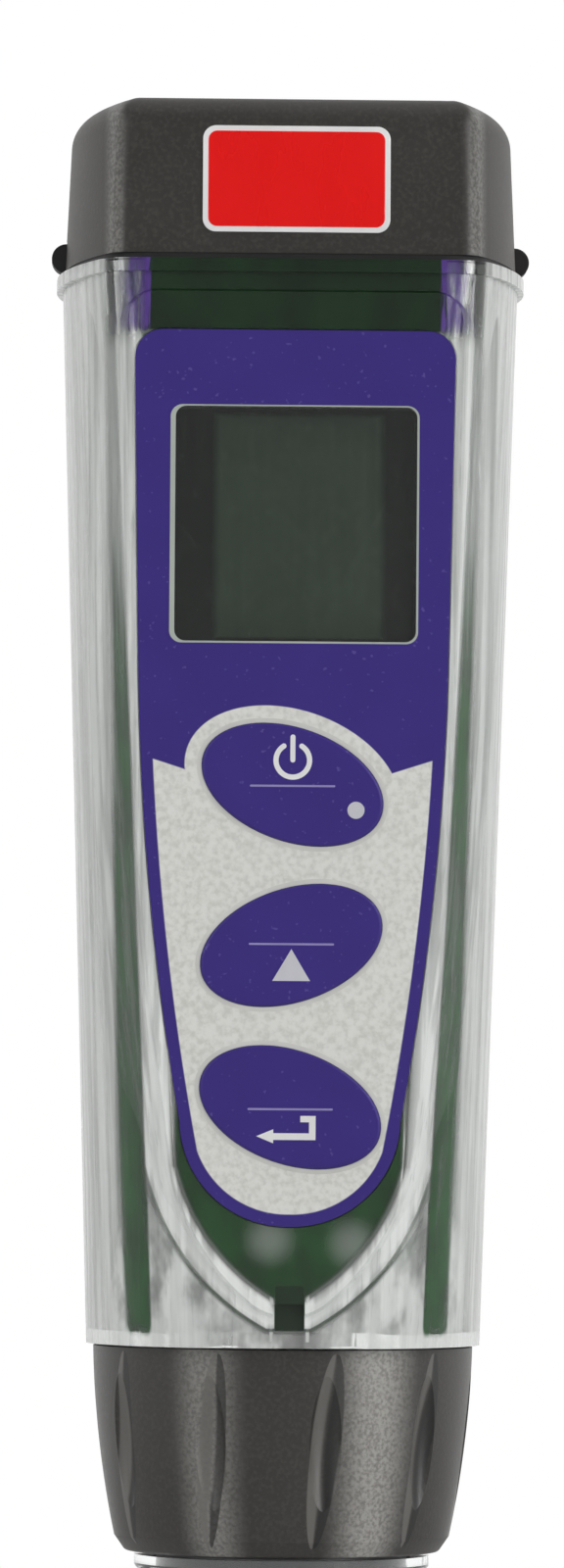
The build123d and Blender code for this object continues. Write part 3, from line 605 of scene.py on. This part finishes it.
def fluted_grain_and_painted_light():
    """Collar's textured moulding with painted light: each leaf-shaped flute has a painted highlight on its
    left wall and painted shade on its right one.

    The place across a flute is the turn round the long axis times the collar's radius, and the leaf's half
    width shrinks from the middle to its ends as the root of 1 less the squared share of its length.
    """
    finish = grained("collar_grain_and_painted_light", colours().grey, roughness=0.4, specular=0.5)
    x, y, z = finish.place()
    turn = x.turn_from(0 - y)
    pitch = 2 * math.pi / FLUTES["count"]
    rise = z - FLUTES_MM["middle"]
    share = rise / FLUTES_MM["half_length"]
    turns = (turn - FLUTES["first"] + math.pi * 4) / pitch + 0.5
    cell = turns.fraction() - 0.5
    across = cell * (pitch * COLLAR_RADIUS_MM) - rise * FLUTES["lean"]
    half = (1 - share * share).most(0.0).root() * FLUTES_MM["half_width"]
    place = across / half.most(0.05)
    within = abs(place).rise(1.08, 0.94) * half.rise(0.1, 0.3)
    left = within * place.rise(0.05, -0.3)
    right = within * place.rise(-0.1, 0.25)
    # Two painted sheens in the colour, flecked by the grain, beside the real gloss reflections
    glints = [abs(turn - at).rise(*fade) * strength for at, fade, strength in SHEENS]
    sheen = glints[0].most(glints[1])
    grain = finish.noise(0.3, detail=3)
    painted_sheen = finish.mix(sheen * (0.5 + 0.5 * grain.rise(0.3, 0.65)), finish.colour(), tone(178, 176, 171))
    # Painted highlight on each flute's left wall, then painted shade on its right one
    lit = finish.mix(left * 0.8, painted_sheen, tone(112, 110, 106))
    finish.drive({"Base Color": finish.mix(right * 0.8, lit, (0.004, 0.004, 0.004))})
    return finish


def plain_plastic(name, colour, roughness=0.4, spread=0.2):
    """Smooth moulding with faint flow marks that shade its colour by the spread."""
    finish = Finish(name, {})
    flow = finish.noise(4, stretch=(1, 1, 3), detail=3)
    finish.drive({
        "Base Color": finish.mix(flow, scaled(colour, 1 - spread), scaled(colour, 1 + spread)),
        "Roughness": roughness + 0.12 * flow,
    })
    finish.bump(finish.noise(0.6), 0.08, 0.03)
    return finish


def metal(name, colour, roughness=0.28):
    """Bright metal with a fine brushed grain along Z."""
    finish = Finish(name, {"Metallic": 1.0})
    brush = finish.noise(0.12, stretch=(1, 1, 30))
    finish.drive({
        "Base Color": finish.mix(brush, scaled(colour, 0.85), colour),
        "Roughness": roughness + 0.15 * brush,
    })
    finish.bump(brush, 0.1, 0.01)
    return finish


def rubber(name, colour):
    """Satin rubber with a soft bloom."""
    finish = Finish(name, {"Specular IOR Level": 0.3})
    bloom = finish.noise(2.5, detail=4)
    finish.drive({
        "Base Color": finish.mix(bloom, colour, scaled(colour, 1.8)),
        "Roughness": 0.5 + 0.2 * bloom,
    })
    finish.bump(finish.noise(0.25), 0.15, 0.02)
    return finish


def clear_plastic(name, tint, streaks=0.06):
    """Polished clear moulding with faint drawn streaks along Z, or without them a faint cloud."""
    finish = Finish(name, {"Transmission Weight": 1.0, "IOR": 1.49})
    streak = finish.noise(0.8, stretch=(1, 1, 40 if streaks else 1), detail=3)
    finish.drive({
        "Base Color": finish.mix(streak, tint, (0.97, 0.98, 0.97)),
        "Roughness": 0.03 + 0.08 * streak.rise(0.5, 0.8),
    })
    finish.bump(streak, streaks, 0.05)
    return finish


def arc_depth(across, up, first, middle, last):
    """Depth inside the circle through three points of an outline: its radius less the way from its centre.

    The centre is where the perpendicular bisectors of the points' chords meet.
    """
    (ax, ay), (bx, by), (cx, cy) = first, middle, last
    a, b, c = ax**2 + ay**2, bx**2 + by**2, cx**2 + cy**2
    spread = 2 * (ax * (by - cy) + bx * (cy - ay) + cx * (ay - by))
    centre_x = (a * (by - cy) + b * (cy - ay) + c * (ay - by)) / spread
    centre_y = (a * (cx - bx) + b * (ax - cx) + c * (bx - ax)) / spread
    radius = math.hypot(ax - centre_x, ay - centre_y)
    return radius - distance(across - centre_x, up - centre_y)


def distance(across, up):
    """Length of a way across and up."""
    return (across * across + up * up).root()


def glow(x, up, centre):
    """Soft round spot: 1 at its centre and 0 past its radius."""
    centre_x, centre_up = centre
    return distance(x - centre_x, up - centre_up).rise(SPOT_RADIUS_MM, 0.2)


def key_ellipse(x, up, centre, leaning, grow):
    """A tilted key's opening grown by a width: below 1 inside it."""
    turn = KEY_TILT * leaning
    rise = up - centre
    along = x * math.cos(turn) + rise * math.sin(turn)
    across = rise * math.cos(turn) - x * math.sin(turn)
    return distance(along / (KEY_LONG_MM + KEY_GAP_MM + grow), across / (KEY_SHORT_MM + KEY_GAP_MM + grow))


def flank_depth(across, up):
    """Depth inside the foot of the shield's flank.

    The foot is a line that spreads a little towards the rim, below it the arc through FLANK_FOOT_MM, and a
    level end at FLANK_BASE_MM.
    """
    bend_side, bend_up = FLANK_FOOT_MM[0]
    line = bend_side + FLANK_SPREAD * (up - bend_up) - across
    arc = arc_depth(across, up, *FLANK_FOOT_MM)
    low = up.rise(bend_up + 0.1, bend_up - 0.1)
    return (line + (arc - line) * low).least(up - FLANK_BASE_MM)


def fade(place, name):
    """Rise over the ends of one of the housing's fades."""
    return place.rise(*HOUSING_FADES_MM[name])


class HousingSurface:
    """Places on the clear housing, the noises that its satin areas share, and a mask for each area."""

    def __init__(self, finish):
        self.x, self.y, self.up = finish.place()
        self.across = abs(self.x)
        self.depth = flank_depth(self.across, self.up)
        self.front = fade(self.y, "front")
        self.streak = finish.noise(1.0, stretch=(1, 1, 34), detail=3)
        self.fine = finish.noise(0.4, stretch=(1, 1, 12), detail=3)
        self.cloud = finish.noise(2.6, stretch=(1, 1, 1.8), detail=3)
        above = self.up - STRIPE_MM["from"]
        narrowed = STRIPE_MM["half_width"] - above * STRIPE_NARROWING
        self.stripe_half = narrowed.least(STRIPE_MM["half_width"])
        self.beside_stripe = self.across - STRIPE_MM["middle"] - above * STRIPE_SPREAD

    def flank(self):
        """Painted reflection on the strip inside the flank's foot, brighter in streaks and with a painted
        highlight along the middle of its lower bend.
        """
        outer = self.depth.rise(-0.12, 0.12)
        inner = self.depth.rise(FLANK_WIDTH_MM + 0.2, FLANK_WIDTH_MM - 0.2)
        off_middle = abs(self.depth - FLANK_WIDTH_MM / 2).rise(0.3, 1.1)
        bevel = (1 - off_middle) * fade(self.up, "bevel")
        shine = (0.5 + 0.35 * self.streak.rise(0.35, 0.65) + 0.5 * bevel).least(1.0)
        return outer * inner * self.front * fade(self.up, "below_rim") * shine

    def walls(self):
        """Painted pale light on the side walls past the clear stripe, paler to the rear, and a faint share of
        it on the back wall.
        """
        beyond = (self.beside_stripe - self.stripe_half).rise(-0.1, 0.5)
        sides = beyond * (0.45 + 0.25 * self.streak.rise(0.3, 0.65) + 0.15 * fade(self.y, "rear"))
        return sides.most(fade(self.y, "back") * (0.1 + 0.12 * self.streak.rise(0.3, 0.7)))

    def corners(self):
        """Cloudy lower corners outside the flank's foot."""
        outside = self.depth.rise(-0.1, -0.6) * fade(self.up, "corners") * self.front
        return outside * (0.3 + 0.6 * self.cloud.rise(0.3, 0.6))

    def notch(self):
        """Painted shade on the floor of the notch at the shield's tip."""
        side = abs(self.x - NOTCH_MM["middle"]).rise(*NOTCH_MM["side"])
        return side * self.up.rise(*NOTCH_MM["base"]) * self.up.rise(*NOTCH_MM["top"]) * self.front

    def notch_walls(self):
        """Painted highlights on the walls at both sides of the notch."""
        off_wall = abs(abs(self.x - NOTCH_MM["middle"]) - NOTCH_WALL_MM["side"])
        height = self.up.rise(*NOTCH_WALL_MM["base"]) * self.up.rise(*NOTCH_WALL_MM["top"])
        return (1 - off_wall.rise(*NOTCH_WALL_MM["fade"])) * height * self.front

    def basin(self):
        """Green below the overlay's tip, inside the flank."""
        inside = self.depth.rise(FLANK_WIDTH_MM - 0.1, FLANK_WIDTH_MM + 0.8)
        return inside * fade(self.up, "basin") * self.front

    def crown(self):
        """Dark green band between the overlay's top and the rim."""
        return fade(self.up, "crown") * fade(self.across, "crown_side") * self.front

    def stripe(self):
        """Green that shows through the upright clear stripe outside the flank."""
        strip = (abs(self.beside_stripe) - self.stripe_half).rise(0.25, -0.25) * self.depth.rise(0.1, -0.2)
        height = fade(self.up, "stripe_top") * fade(self.up, "stripe_base")
        drawn = 0.6 + 0.4 * self.streak.rise(0.62, 0.4)
        return strip * height * fade(self.y, "stripe_front") * drawn

    def crease(self):
        """Fine green line along the foot of the flank's bend."""
        off_foot = abs(self.depth + 0.1).rise(0.05, 0.25)
        return (1 - off_foot) * fade(self.up, "crease") * self.front * 0.35

    def spots(self):
        """Two soft spots of light below the overlay's tip."""
        left, right = (glow(self.x, self.up, centre) for centre in SPOTS_MM)
        return left.most(right) * self.front

    def fringe(self):
        """Speckled purple beside the crown."""
        side = abs(self.across - FRINGE_MM["side"]).rise(*FRINGE_MM["fade"])
        return side * fade(self.up, "fringe") * self.front * self.fine.rise(0.35, 0.6) * 0.55


def housing_with_painted_light(name, tint):
    """Clear housing under a satin shader that carries painted pale light on some areas, and green with
    painted shade in the notch on others.
    """
    finish = clear_plastic(name, tint)
    surface = HousingSurface(finish)
    crown = surface.crown()
    notch = surface.notch()
    fringe = surface.fringe()
    # Pale areas: painted reflection on the flank and walls, the cloudy lower corners, and painted highlights
    # on the notch's walls
    pale = surface.flank().most(surface.walls()).most(surface.corners()).most(surface.notch_walls() * 0.7)
    green = (surface.basin() * 0.78).most(crown * 0.75).most(surface.stripe())
    green = green.most(surface.crease()).most(notch)

    painted_pale_light = tuple(colours().painted_pale_light)
    moss = tuple(colours().green)
    # Painted pale light, streaked and flecked
    bright = finish.mix(surface.streak.rise(0.3, 0.7), scaled(painted_pale_light, 0.78), painted_pale_light)
    bright = finish.mix(surface.fine.rise(0.58, 0.75) * 0.3, bright, tone(120, 132, 122))
    shade = finish.mix(surface.cloud.rise(0.3, 0.7), scaled(moss, 0.5), moss)
    # Painted spots of light on the green
    shade = finish.mix(surface.spots() * 0.22, shade, painted_pale_light)
    shade = finish.mix(crown * (0.9 - 0.35 * surface.cloud), shade, (0.003, 0.014, 0.004))
    # Painted shade in the notch
    shade = finish.mix(notch * 0.8, shade, (0.004, 0.01, 0.004))
    tones = finish.mix(green.rise(0.0, 0.5), bright, shade)
    satin = finish.node("ShaderNodeBsdfPrincipled", None, {
        "Base Color": finish.mix(fringe.rise(0.0, 0.1), tones, tone(92, 60, 150)),
        "Roughness": 0.3 + 0.2 * surface.fine,
    })
    finish.lay_over(pale.most(green).most(fringe), satin)
    return finish


def film_purple(name):
    """Satin purple print with pale dust specks and a fine texture."""
    finish = Finish(name, {"Specular IOR Level": 0.3})
    speck = finish.noise(0.45, detail=1).rise(0.69, 0.78)
    cloud = finish.noise(6, detail=3)
    purple = colours().purple
    shaded = finish.mix(cloud, scaled(purple, 0.85), scaled(purple, 1.12))
    finish.drive({
        "Base Color": finish.mix(speck * 0.35, shaded, tone(120, 110, 180)),
        "Roughness": 0.42 + 0.1 * cloud,
    })
    finish.bump(finish.noise(0.22), 0.12, 0.02)
    return finish


def printed_film():
    """The overlay's print: purple, with a grey field in a purple border below and a grey ring at the top key.

    The field lies inside the overlay's outline by the border's width. That outline is a wide arc from the hip
    to the corner, and below it an arc to the tip, through the point at half the turn of a quarter ellipse.
    """
    finish = film_purple("printed_film")
    x, _, up = finish.place()
    across = abs(x)
    border = sizes().border / MM
    corner_side, corner_up = FILM_CORNER_MM
    eighth = math.pi / 4
    tip_middle = (corner_side * math.cos(eighth), corner_up - (corner_up - FILM_TIP_MM) * math.sin(eighth))
    sides = arc_depth(across, up, FILM_HIP_MM, FILM_WAIST_MM, FILM_CORNER_MM)
    tip = arc_depth(across, up, FILM_CORNER_MM, tip_middle, (0.0, FILM_TIP_MM))
    above_tip = up.rise(corner_up - 0.1, corner_up + 0.1) * 50
    depth = sides.least(tip.most(above_tip))
    top = up + FIELD_SLOPE * (FIELD_TOP_MM["half_width"] - across)
    top_at = FIELD_TOP_MM["height"]
    inside = depth.rise(border - PRINT_EDGE_MM, border + PRINT_EDGE_MM)
    field = inside * top.rise(top_at + PRINT_EDGE_MM, top_at - PRINT_EDGE_MM)
    halo_ring = key_ellipse(x, up, *KEYS_MM["power"], sizes().halo / MM).rise(1.008, 0.996)
    grain = finish.noise(0.5, detail=2)
    pale = finish.mix(grain.rise(0.35, 0.75) * 0.5, tuple(colours().field), tone(190, 190, 182))
    finish.drive({"Base Color": finish.mix(field.most(halo_ring), finish.colour(), pale)})
    return finish


def resting_display():
    """Display glass at rest: a cloudy grey, with painted shade as dark bands at both sides and both ends."""
    finish = Finish("display_glass", {"Specular IOR Level": 0.35})
    x, _, z = finish.place()
    # Bands of painted shade at both sides and both ends
    left = x.rise(*DISPLAY_BANDS_MM["left"])
    right = x.rise(*DISPLAY_BANDS_MM["right"])
    ends = abs(z - WINDOW_MM["centre"]).rise(*DISPLAY_BANDS_MM["ends"])
    cloud = finish.noise(3, detail=4)
    centre = finish.mix(cloud.rise(0.3, 0.8) * 0.4, tuple(colours().display), tone(106, 126, 107))
    finish.drive({
        "Base Color": finish.mix(left.most(right).most(ends), centre, tuple(colours().display_shade)),
        "Roughness": 0.25 + 0.1 * cloud,
    })
    finish.bump(finish.noise(0.8), 0.03, 0.02)
    return finish


def solder_mask():
    """Green lacquer of the boards, raised over a pattern of tracks and uneven in patches."""
    finish = Finish("solder_mask", {"Coat Weight": 0.4})
    track = finish.node(
        "ShaderNodeTexBrick",
        {"offset": 0.5},
        {"Vector": finish.object_point(), "Scale": 400.0, "Mortar Size": 0.03},
        out="Fac",
    )
    patch = finish.noise(2.2, detail=3).rise(0.45, 0.55)
    finish.drive({
        "Base Color": finish.mix(track * 0.6 + patch * 0.25, (0.012, 0.09, 0.035), (0.03, 0.2, 0.08)),
        "Roughness": 0.32 + 0.1 * patch,
    })
    finish.bump(track, 0.2, 0.03)
    return finish


def cell_jacket():
    """Printed jacket of a cell: dark blue, a copper band above and the bare steel top, all with scuffs."""
    finish = Finish("cell_jacket", {"Coat Weight": 0.5, "Coat Roughness": 0.15})
    _, _, z = finish.place()
    top = z.rise(*CELL_TOP_MM)
    scuff = finish.noise(1.4, stretch=(1, 1, 4), detail=4).rise(0.45, 0.8)
    jacket = finish.mix(z.rise(*CELL_BAND_MM), (0.02, 0.045, 0.16), (0.5, 0.33, 0.12))
    jacket = finish.mix(scuff * 0.3, jacket, (0.12, 0.14, 0.2))
    finish.drive({
        "Base Color": finish.mix(top, jacket, (0.6, 0.6, 0.58)),
        "Metallic": top,
        "Roughness": 0.3 + 0.15 * scuff,
    })
    finish.bump(scuff, 0.1, 0.03)
    return finish


def platinum_black():
    """Rough black coat of the electrode plates."""
    finish = Finish("platinum_black", {"Specular IOR Level": 0.3})
    pores = finish.noise(0.3, detail=5)
    finish.drive({
        "Base Color": finish.mix(pores, (0.012, 0.012, 0.014), (0.05, 0.05, 0.055)),
        "Roughness": 0.7 + 0.2 * pores,
    })
    finish.bump(pores, 0.5, 0.03)
    return finish


# Pieces


class METER_OT_clear_mouldings(bpy.types.Operator):
    """Finish of the clear housing, its window and the probe cap"""

    bl_idname = "meter.clear_mouldings"
    bl_label = "Clear mouldings"
    bl_options = {"REGISTER", "UNDO"}

    def execute(self, context):
        dress("clear_body", housing_with_painted_light("clear_housing", (0.90, 0.93, 0.91)))
        dress("probe_cap", clear_plastic("clear_cup", (0.93, 0.95, 0.94)))
        dress("window_pane", clear_plastic("clear_window", (0.93, 0.96, 0.94), streaks=0.0))
        return {"FINISHED"}


class METER_OT_grey_mouldings(bpy.types.Operator):
    """Finish of the battery cap, screw collar, seals and black inner mouldings"""

    bl_idname = "meter.grey_mouldings"
    bl_label = "Grey mouldings"
    bl_options = {"REGISTER", "UNDO"}

    def execute(self, context):
        dress("top_cap", creased_cap())
        dress("collar", fluted_grain_and_painted_light())
        black = rubber("seal_rubber", (0.012, 0.012, 0.012))
        for node in BLACK_RUBBER:
            dress(node, black)
        dark = plain_plastic("black_moulding", (0.02, 0.02, 0.021))
        for node in BLACK_MOULDINGS:
            dress(node, dark)
        return {"FINISHED"}


class METER_OT_badge(bpy.types.Operator):
    """Plain red badge with a white rim on the battery cap"""

    bl_idname = "meter.badge"
    bl_label = "Badge"
    bl_options = {"REGISTER", "UNDO"}

    def execute(self, context):
        half_width = sizes().badge_width / 2 / MM
        half_height = sizes().badge_height / 2 / MM
        centre = (0, sizes().badge_height_at / MM)
        rim = sizes().badge_rim / MM
        rim_corner, field_corner = BADGE_CORNERS_MM
        white = plain_plastic("badge_rim", colours().ink, roughness=0.3)
        red = plain_plastic("badge_field", colours().red, roughness=0.22, spread=0.04)
        outline = rounded_outline(half_width, half_height, rim_corner, centre)
        finish_piece(plate("badge_rim", outline, on_cap, *BADGE_RIM_MM), "cap", white)
        outline = rounded_outline(half_width - rim, half_height - rim, field_corner, centre)
        finish_piece(plate("badge_field", outline, on_cap, *BADGE_FIELD_MM), "cap", red)
        return {"FINISHED"}


class METER_OT_keypad(bpy.types.Operator):
    """Printed film, its keys, the marks on them and the webs round them"""

    bl_idname = "meter.keypad"
    bl_label = "Keypad"
    bl_options = {"REGISTER", "UNDO"}

    def execute(self, context):
        dress("keypad_overlay", printed_film())
        purple = film_purple("key_film")
        for node in ("key_power", "key_up", "key_enter"):
            dress(node, purple)
        ink = plain_plastic("key_ink", colours().ink, roughness=0.35)
        faint = plain_plastic("faint_ink", tone(150, 142, 196), roughness=0.4)
        grey = plain_plastic("grey_ink", tone(205, 205, 212), roughness=0.35)
        stroke = sizes().stroke / MM
        marks = {
            "power_arc": ("power_button", power_arc(stroke), ink),
            "power_bar": ("power_button", power_bar(stroke), ink),
            "power_line": ("power_button", underline(UNDERLINES_MM["power"]), faint),
            "power_dot": ("power_button", power_dot(), grey),
            "up_line": ("up_button", underline(UNDERLINES_MM["up"]), faint),
            "up_arrow": ("up_button", np.array(UP_ARROW_MM), grey),
            "enter_line": ("enter_button", underline(UNDERLINES_MM["enter"]), faint),
            "enter_hook": ("enter_button", np.array(HOOK_MM), ink),
        }
        for name, (body, outline, finish) in marks.items():
            finish_piece(plate(name, outline, on_land, *MARK_MM), body, finish)
        # The webs' grey is the field's made darker: a painted shadow round each key
        web = plain_plastic("key_web_painted_shadow", scaled(colours().field, 0.84), roughness=0.5)
        for name, (centre, leaning) in KEYS_MM.items():
            outer, inner = (key_loop(centre, leaning, reach) for reach in WEB_REACH_MM)
            ring = ring_plate(f"{name}_web", outer, inner, on_land, *WEB_MM)
            finish_piece(ring, "housing", web)
        return {"FINISHED"}


class METER_OT_display(bpy.types.Operator):
    """Resting display glass with its bands of painted shade, its light guide and the window's pale edge"""

    bl_idname = "meter.display"
    bl_label = "Display"
    bl_options = {"REGISTER", "UNDO"}

    def execute(self, context):
        dress("display_glass", resting_display())
        dress("display_backlight", plain_plastic("light_guide", (0.8, 0.82, 0.8)))
        pale = plain_plastic("window_edge", tone(176, 184, 176), roughness=0.3)
        half, half_height, corner = (WINDOW_MM[name] for name in ("half", "half_height", "corner"))
        shift_side, shift_up = WINDOW_EDGE_MM["shift"]
        outer = rounded_outline(half, half_height, corner, (0, WINDOW_MM["centre"]))
        inner = rounded_outline(
            half - WINDOW_EDGE_MM["sides"],
            half_height - WINDOW_EDGE_MM["ends"],
            corner - WINDOW_EDGE_MM["corner"],
            (shift_side, WINDOW_MM["centre"] + shift_up),
        )
        ring = ring_plate("window_edge", outer, inner, on_land, *WINDOW_EDGE_RISE_MM)
        finish_piece(ring, "housing", pale)
        return {"FINISHED"}


class METER_OT_chassis(bpy.types.Operator):
    """Inner chassis, cells, boards and the parts on them"""

    bl_idname = "meter.chassis"
    bl_label = "Chassis and boards"
    bl_options = {"REGISTER", "UNDO"}

    def execute(self, context):
        dress("inner_chassis", plain_plastic("chassis_moulding", colours().green, roughness=0.35))
        board = solder_mask()
        for node in ("main_board", "connector_board"):
            dress(node, board)
        steel = metal("bright_steel", (0.62, 0.62, 0.6))
        for node in STEEL_NODES:
            dress(node, steel)
        dress("socket_contacts", metal("gold_plate", (0.85, 0.6, 0.22), 0.2))
        dress("flat_tail", plain_plastic("amber_film", (0.45, 0.18, 0.03), 0.3))
        dress("battery_cells", cell_jacket())
        return {"FINISHED"}


class METER_OT_probe(bpy.types.Operator):
    """Probe body and its electrode plates"""

    bl_idname = "meter.probe"
    bl_label = "Probe"
    bl_options = {"REGISTER", "UNDO"}

    def execute(self, context):
        dress("probe_body", plain_plastic("probe_moulding", (0.045, 0.045, 0.047), 0.38))
        dress("electrode_plates", platinum_black())
        return {"FINISHED"}


class METER_OT_stage(bpy.types.Operator):
    """White bench and surroundings, three soft lamps and the camera"""

    bl_idname = "meter.stage"
    bl_label = "Stage"
    bl_options = {"REGISTER", "UNDO"}

    def execute(self, context):
        scene = context.scene
        scene.view_settings.view_transform = "Standard"
        stage = scene.meter_stage
        surroundings(scene, stage)
        bench()
        lamp("lamp_left", LAMP_SIDE, stage.left_lamp)
        lamp("lamp_right", LAMP_SIDE, stage.right_lamp)
        lamp("lamp_top", LAMP_TOP_SIDE, stage.top_lamp)
        camera(scene, stage)
        return {"FINISHED"}


# Stage


def surroundings(scene, stage):
    """White to the eye and behind the meter, dim where a reflection finds the front, and even as light.

    A reflection also finds two upright panels, one towards each side, and the right one is the brighter.
    """
    scene.world = bpy.data.worlds.new("surroundings")
    scene.world.use_nodes = True
    sky = Nodes(scene.world.node_tree)
    path = sky.node("ShaderNodeLightPath")
    seen, mirrored, through = sky.outputs(path, "Is Camera Ray", "Is Glossy Ray", "Is Transmission Ray")
    direction = sky.node("ShaderNodeTexCoord", out="Generated")
    side, depth = sky.outputs(sky.node("ShaderNodeSeparateXYZ", None, {0: direction}), 0, 1)
    behind = depth.rise(-0.15, 0.4).most(abs(side).rise(0.92, 0.99))
    panels = (1 - abs(abs(side) - 0.78).rise(0.04, 0.16)) * depth.rise(0.0, -0.3)
    lit = stage.front_glow + (1 - stage.front_glow) * behind + stage.panels * panels * (1 + 0.6 * side)
    strength = stage.ambient + (lit - stage.ambient) * mirrored.most(through)
    light = sky.tree.nodes["Background"]
    sky.fill(light, {"Color": (1, 1, 1), "Strength": strength + (1 - strength) * seen})


def bench():
    """Pale bench that keeps the meter's shadow near it and turns plain white further off."""
    finish = Finish("bench", {"Roughness": 0.7, "Specular IOR Level": 0.1})
    x, y, _ = finish.place()
    far = distance(x, y).rise(*BENCH_WHITE_MM)
    path = finish.node("ShaderNodeLightPath")
    seen, mirrored, through = finish.outputs(path, "Is Camera Ray", "Is Glossy Ray", "Is Transmission Ray")
    finish.drive({"Base Color": finish.mix(finish.noise(30), (0.86, 0.86, 0.86), (0.9, 0.9, 0.9))})
    white = finish.node("ShaderNodeEmission", None, {"Color": (1, 1, 1), "Strength": 1.0})
    finish.lay_over(far * seen.most(mirrored).most(through), white)
    side = np.linspace(-BENCH_HALF, BENCH_HALF, 3)
    points = np.stack(np.broadcast_arrays(side[:, None], side[None, :], -BENCH_DROP), axis=-1)
    piece = grid_piece("bench", points)
    piece.data.materials.append(finish.material)


def lamp(name, side, power):
    """Square lamp that faces the meter's middle."""
    data = bpy.data.lights.new(name, "AREA")
    data.shape = "SQUARE"
    data.size = side
    data.energy = power
    made = bpy.data.objects.new(name, data)
    made.location = LAMP_PLACES[name]
    facing = Vector(LAMP_TARGET) - Vector(LAMP_PLACES[name])
    made.rotation_euler = facing.to_track_quat("-Z", "Y").to_euler()
    bpy.context.scene.collection.objects.link(made)


def camera(scene, stage):
    """Long lens in front of the meter, a little turned and rolled, as the photograph was taken."""
    data = bpy.data.cameras.new("camera")
    data.lens = stage.lens
    data.sensor_width = SENSOR_WIDTH_MM
    data.clip_start, data.clip_end = CAMERA_CLIP
    made = bpy.data.objects.new("camera", data)
    turn = stage.turn
    at = Vector((stage.distance * math.sin(turn), -stage.distance * math.cos(turn), stage.camera_height))
    target = Vector((stage.aim_side, 0, stage.aim_height))
    look = (target - at).to_track_quat("-Z", "Y").to_matrix().to_4x4()
    made.matrix_world = Matrix.Translation(at) @ look @ Matrix.Rotation(stage.roll, 4, "Z")
    scene.collection.objects.link(made)
    scene.camera = made


class METER_PT_sidebar(bpy.types.Panel):
    """Lists the meter's pieces and their sizes and colours"""

    bl_label = "Conductivity meter"
    bl_idname = "METER_PT_sidebar"
    bl_space_type = "VIEW_3D"
    bl_region_type = "UI"
    bl_category = "Meter"

    def draw(self, context):
        for operator in PIECES:
            self.layout.operator(operator.bl_idname)
        for group in (context.scene.meter_sizes, context.scene.meter_colours, context.scene.meter_stage):
            box = self.layout.box()
            for name in group.__annotations__:
                box.prop(group, name)


PIECES = (
    METER_OT_clear_mouldings,
    METER_OT_grey_mouldings,
    METER_OT_badge,
    METER_OT_keypad,
    METER_OT_display,
    METER_OT_chassis,
    METER_OT_probe,
    METER_OT_stage,
)
GROUPS = {"meter_colours": MeterColours, "meter_sizes": MeterSizes, "meter_stage": MeterStage}


def register():
    for group in GROUPS.values():
        bpy.utils.register_class(group)
    for name, group in GROUPS.items():
        setattr(bpy.types.Scene, name, bpy.props.PointerProperty(type=group))
    for operator in PIECES:
        bpy.utils.register_class(operator)
    bpy.utils.register_class(METER_PT_sidebar)


def unregister():
    bpy.utils.unregister_class(METER_PT_sidebar)
    for operator in reversed(PIECES):
        bpy.utils.unregister_class(operator)
    for name in GROUPS:
        delattr(bpy.types.Scene, name)
    for group in GROUPS.values():
        bpy.utils.unregister_class(group)


def main():
    register()
    for operator in PIECES:
        group, name = operator.bl_idname.split(".")
        getattr(getattr(bpy.ops, group), name)()


if __name__ == "__main__":
    main()
